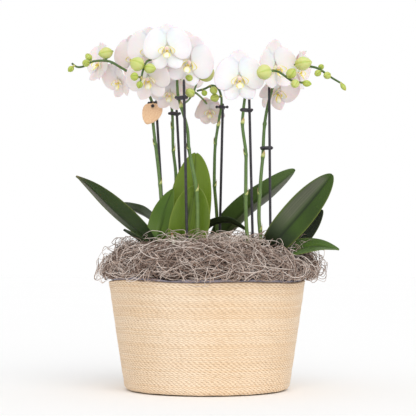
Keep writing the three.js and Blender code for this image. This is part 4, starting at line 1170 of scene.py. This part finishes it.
def makeTag():
    onStem = stemAt(1, clips[1]["height"])
    half, drop = tag["width"] / 2, tag["drop"]
    start = np.array([-half * 0.55, drop])
    arcs = [
        (start, [half * 0.4, drop + 1.5], [half * 1.1, drop], [half * 0.9, -half * 0.6]),
        ([half * 0.9, -half * 0.6], [half * 0.6, -half * 1.5], [-half * 0.2, -half * 1.7],
         [-half * 0.55, -half * 1.75]),
        ([-half * 0.55, -half * 1.75], [-half * 1.1, -half * 1.6], [-half * 1.25, drop - 2], start),
    ]
    t = np.linspace(0, 1, 20, endpoint=False)[:, None]
    outline = np.concatenate([cubic(arc, t) for arc in arcs])
    turn = np.arctan2(outline[:, 1], outline[:, 0])
    hole = tag["hole"] * np.stack([np.cos(turn), np.sin(turn)], -1)
    rows = []
    for side in (-1, 1):
        shares = np.linspace(0, 1, 9)[:: 1 if side < 0 else -1]
        for share in shares:
            flat = hole + (outline - hole) * share
            soft = tag["thickness"] / 2 * (1 - 0.4 * (share in (0, 1)))
            bow = 0.0016 * flat[:, 0] ** 2
            rows.append(np.stack([flat[:, 0], side * soft + bow, flat[:, 1]], -1))
    piece = newPiece()
    addLofts(piece, tagMiddle(onStem) + np.array(rows), wrap=True)
    card = speckled("kraftCard", 700, 5, [(0.3, "#edbd90"), (0.6, tag["colour"])], (700, 5, 0.2, 0.2),
                    Roughness=0.8)
    finishPiece(piece, "tag_card", [card], "tag")


makeStakes()
makeClips()
makeTag()
print("stakes and clips set")

# moss

moss = {
    "top": 165,
    "radius": 122,
    "lean": 4,  # how far the heap spills to the right
    # the dark core is painted shade that shows between the strands
    "core": 7,  # how far the dark core lies under the surface
    "flat": 96.0,  # radius of the flat top
    "shoulder": 0.62,  # where the top ends and the bend to the foot starts
    "overhang": 0.62,  # how far the bend goes, in half turns
    "hollow": [[109, 124], [107, 112], [2, 112]],  # the core's underside
    "columns": 96,
    "parts": 3,
    "segments": 13,
    "thick": 0.55,
    # the heap itself, and the loose strands that stand out of it
    "layers": [
        {"strands": 5000, "rise": (0.5, 9), "reach": 0, "curl": 2.5, "width": (0.6, 1.25),
         "tone": (0, 0.9)},
        {"strands": 900, "rise": (4, 20), "reach": 14, "curl": 2.9, "width": (0.5, 0.95),
         "tone": (0.3, 1.0)},
    ],
    "chips": 46,
}


# The heap's surface: t from 0 at its middle to 1 at its foot on the rim; height is above that surface.
def mossSurface(angle, t, height):
    shoulder, overhang = moss["shoulder"], moss["overhang"]
    flat = moss["flat"] + 5 * np.sin(2 * angle + 0.5) + 4 * np.sin(5 * angle + 2)
    edge = np.clip((t - shoulder) / 0.38, 0, 1)
    bend = edge * math.pi * overhang
    radius = np.where(t < shoulder, flat * t / shoulder, flat + (moss["radius"] - flat) * np.sin(bend))
    top = moss["top"] + 4 - 11 * t**2 + 3.0 * np.sin(3 * angle + 1) * t + 2.5 * np.sin(5 * angle + 4 * t) * t
    foot = basket["height"] + 4
    share = (1 - np.cos(bend)) / (1 - math.cos(math.pi * overhang))
    fall = (top - foot) * np.where(t < shoulder, 0, share)
    z = top - fall + rimWave(angle) * edge
    out = np.where(t < shoulder, 0.0, np.sin(bend))
    rise = np.where(t < shoulder, 1.0, np.cos(bend))
    radius = radius + height * out
    lean = moss["lean"]
    return np.stack([radius * np.cos(angle) + lean, radius * np.sin(angle), z + height * rise], -1)


def strandRings(lines, thick):
    ahead = unit(np.gradient(lines, axis=1))
    side = unit(np.cross(ahead, np.array([0.3, 0.5, 0.81])))
    second = np.cross(ahead, side)
    taper = np.sin(math.pi * np.linspace(0.12, 0.94, lines.shape[1])) ** 0.35
    angles = np.array([0, 2.094, 4.189])
    around = side[:, :, None] * np.cos(angles)[:, None] + second[:, :, None] * np.sin(angles)[:, None]
    return lines[:, :, None] + around * (thick[:, None] * taper[None])[:, :, None, None]


# Curly strands that wander over the heap, rise out of it and dip back in.
def curlyLines(rng, count, layer):
    s = np.linspace(0, 1, moss["segments"] + 1)[None]
    one = (count, 1)
    angle = rng.uniform(0, 2 * math.pi, one)
    t = rng.uniform(0, 1, one) ** 0.62 * 0.97
    heading = rng.uniform(0, 2 * math.pi, one)
    length = rng.uniform(18, 55, one)
    loop = rng.uniform(0.9, layer["curl"], one) ** 2 * rng.choice([-1, 1], one)
    turns = rng.uniform(0.4, 1.9, one) * 2 * math.pi
    start = rng.uniform(0, 2 * math.pi, one)
    drift = length * (s - 0.5)
    bowed = rng.uniform(-0.3, 0.3, one) * length * (s - 0.5) ** 2 * 2
    drift = drift + rng.normal(0, 0.4, (count, moss["segments"] + 1))
    x = drift * np.cos(heading) + loop * np.cos(turns * s + start) - bowed * np.sin(heading)
    y = drift * np.sin(heading) + loop * np.sin(turns * s + start) + bowed * np.cos(heading)
    radius = np.maximum(moss["radius"] * t, 14)
    angles = angle + x / radius * np.clip(radius / 30, 0, 1)
    arc = np.clip(t + y / 165, 0.0, 1.0)
    hump = rng.uniform(*layer["rise"], one) * np.sin(math.pi * s) ** rng.uniform(0.6, 1.6, one)
    height = rng.uniform(-7, 1.5, one) + hump + layer["reach"] * rng.uniform(0, 1, one) * s**2
    kink = rng.normal(0, 0.35, (count, moss["segments"] + 1))
    height = height + 0.3 * np.abs(loop) * np.sin(turns * s * 0.8 + start) + kink
    return mossSurface(angles, arc, height)


def mossMaterial():
    material, tree, shader = newMaterial("driedMoss", Roughness=0.9, Sheen_Weight=0.2)
    tone = plus(tree, fieldOf(tree, "tone"), times(tree, noiseOf(tree, 90, 3), 0.3))
    colourInto(tree, shader, rampOf(tree, tone, [(0.05, "#452f25"), (0.32, "#82685a"), (0.66, "#b39b8c"),
                                                 (0.98, "#e2d4ca")]))
    return material


def makeMoss():
    strandMaterial = mossMaterial()
    # painted shade: a dark core under the strands shows through their gaps
    dark = speckled("mossShadeCore", 160, 4, [(0.3, "#2e241d"), (0.7, "#5f4e42")], Roughness=0.95)
    chip = speckled("barkChip", 220, 4, [(0.3, "#4a2a1a"), (0.7, "#93613f")], Roughness=0.85)
    root, tree, shader = newMaterial("airRoot", Roughness=0.6)
    colourInto(tree, shader, rampOf(tree, fieldOf(tree, "along"), [(0.0, "#cfcab6"), (0.8, "#e3ded0"),
                                                                    (0.95, "#8a5f3c")]))
    for part in range(moss["parts"]):
        rng = np.random.default_rng(400 + part)
        piece = newPiece()
        for layer in moss["layers"]:
            count = layer["strands"] // moss["parts"]
            lines = curlyLines(rng, count, layer)
            thick = moss["thick"] * rng.uniform(*layer["width"], count)
            tone = rng.uniform(*layer["tone"], count)
            addLofts(piece, strandRings(lines, thick), 0, tone=tone[:, None, None])
        if part == 0:
            angles = fullTurn(moss["columns"])
            levels = np.concatenate([np.linspace(0.02, moss["shoulder"], 16), np.linspace(0.65, 1, 12)])
            lump = 1.6 * np.sin(9 * angles)[None] * np.sin(21 * levels)[:, None]
            core = mossSurface(angles[None] + 0 * levels[:, None], levels[:, None] + 0 * angles[None],
                               -moss["core"] + lump)
            inner = turnedRings(moss["hollow"], moss["columns"])
            addLofts(piece, np.concatenate([core, inner]), 1)
        if part == 1:
            addChips(piece, rng)
        if part == 2:
            tip = [[-36, -74, 158], [-37, -76, 168], [-39, -77, 177], [-40, -76, 184]]
            along = np.linspace(0, 1, 16)
            radii = np.where(along > 0.85, 1.9 - 6 * (along - 0.85), 1.9)
            addLofts(piece, tubeRings(smoothLine(tip, 16), radii, 10), 3, along=along[:, None])
        finishPiece(piece, f"moss_strands_{part + 1}", [strandMaterial, dark, chip, root],
                    "moss")


# Flakes of bark that lie between the strands.
def addChips(piece, rng):
    for _ in range(moss["chips"]):
        angle, t = rng.uniform(0, 2 * math.pi), rng.uniform(0.2, 1) ** 0.6 * 0.93
        centre = mossSurface(np.array(angle), np.array(t), np.array(rng.uniform(-2.5, 0.5)))
        rings = ballRings([0, 0, 0], [rng.uniform(2, 6), rng.uniform(1.5, 3.5), rng.uniform(0.6, 1.4)], 5, 7)
        rings = rings * (1 + rng.uniform(-0.22, 0.22, rings.shape[:2])[..., None])
        a, b = rng.uniform(0, 6.3), rng.uniform(-0.7, 0.7)
        spin = np.array([[math.cos(a), math.sin(a), 0], [-math.sin(a), math.cos(a), 0], [0, 0, 1]])
        tip = np.array([[1, 0, 0], [0, math.cos(b), math.sin(b)], [0, -math.sin(b), math.cos(b)]])
        addLofts(piece, centre + rings @ tip @ spin, 2)


makeMoss()
print("moss heaped")

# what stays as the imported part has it: pots, bark and the platform, all under the moss

def dressHidden():
    pot = speckled("potPlastic", 80, 3, [(0.3, "#3c302b"), (0.7, "#4d3d36")], Roughness=0.5)
    bark, tree, shader = newMaterial("pottingBark", Roughness=0.9)
    chunk = addNode(tree, "ShaderNodeTexVoronoi", Vector=objectPlace(tree), Scale=110.0).outputs["Distance"]
    colourInto(tree, shader, rampOf(tree, chunk, [(0.1, "#2a1a12"), (0.6, "#7a5236")]))
    bumpOf(tree, shader, chunk, 0.8, 3)
    looks = {"pot_": pot, "reservoir": pot, "bark_": bark}
    for name, node in cadNodes.items():
        for start, material in looks.items():
            if name.startswith(start):
                node.data.materials.clear()
                node.data.materials.append(material)


dressHidden()

# floor and light

studio = {
    "floor": "#fafafa",
    "reach": 14.0,  # metres from the basket to the floor's edge
    "low": -0.0006,  # metres, just under the basket's foot
    "around": 0.8,
    "behind": 1.0,
    "sun": 1.25,
    "softness": 55,
    "from": (0.25, -1, 0.85),
}


def makeStudio():
    mesh = bpy.data.meshes.new("floor")
    far, low = studio["reach"], studio["low"]
    corners = [(x * far, y * far, low) for x, y in ((-1, -1), (1, -1), (1, 1), (-1, 1))]
    mesh.from_pydata(corners, [], [(0, 1, 2, 3)])
    material = speckled("paleFloor", 1.0, 1, [(0.0, "#f8f8f8"), (1.0, studio["floor"])], Roughness=0.9,
                        Specular_IOR_Level=0.1)
    mesh.materials.append(material)
    floor = bpy.data.objects.new("studioFloor", mesh)
    bpy.context.scene.collection.objects.link(floor)
    world = bpy.data.worlds.new("studioWorld")
    bpy.context.scene.world = world
    world.use_nodes = True
    # white behind the plant, a little dimmer elsewhere so that round things turn darker at their sides
    tree = world.node_tree
    direction = addNode(tree, "ShaderNodeTexCoord").outputs["Generated"]
    split = addNode(tree, "ShaderNodeSeparateXYZ", Vector=direction)
    behind = maths(tree, "GREATER_THAN", split.outputs["Y"], 0.9)
    step = times(tree, behind, studio["behind"] - studio["around"])
    tree.links.new(plus(tree, step, studio["around"]), tree.nodes["Background"].inputs["Strength"])
    tree.nodes["Background"].inputs["Color"].default_value = (1, 1, 1, 1)
    data = bpy.data.lights.new("windowSun", "SUN")
    data.energy = studio["sun"]
    data.angle = math.radians(studio["softness"])
    sun = bpy.data.objects.new("windowSun", data)
    sun.rotation_euler = Vector(studio["from"]).to_track_quat("Z", "Y").to_euler()
    bpy.context.scene.collection.objects.link(sun)
    bpy.context.scene.view_settings.view_transform = "Standard"


makeStudio()
print("studio lit")

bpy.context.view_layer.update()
faceCount = sum(len(made.data.loop_triangles) or len(made.data.polygons) * 2 for made in bpy.data.objects
                if made.type == "MESH")
print("triangles, about", faceCount)
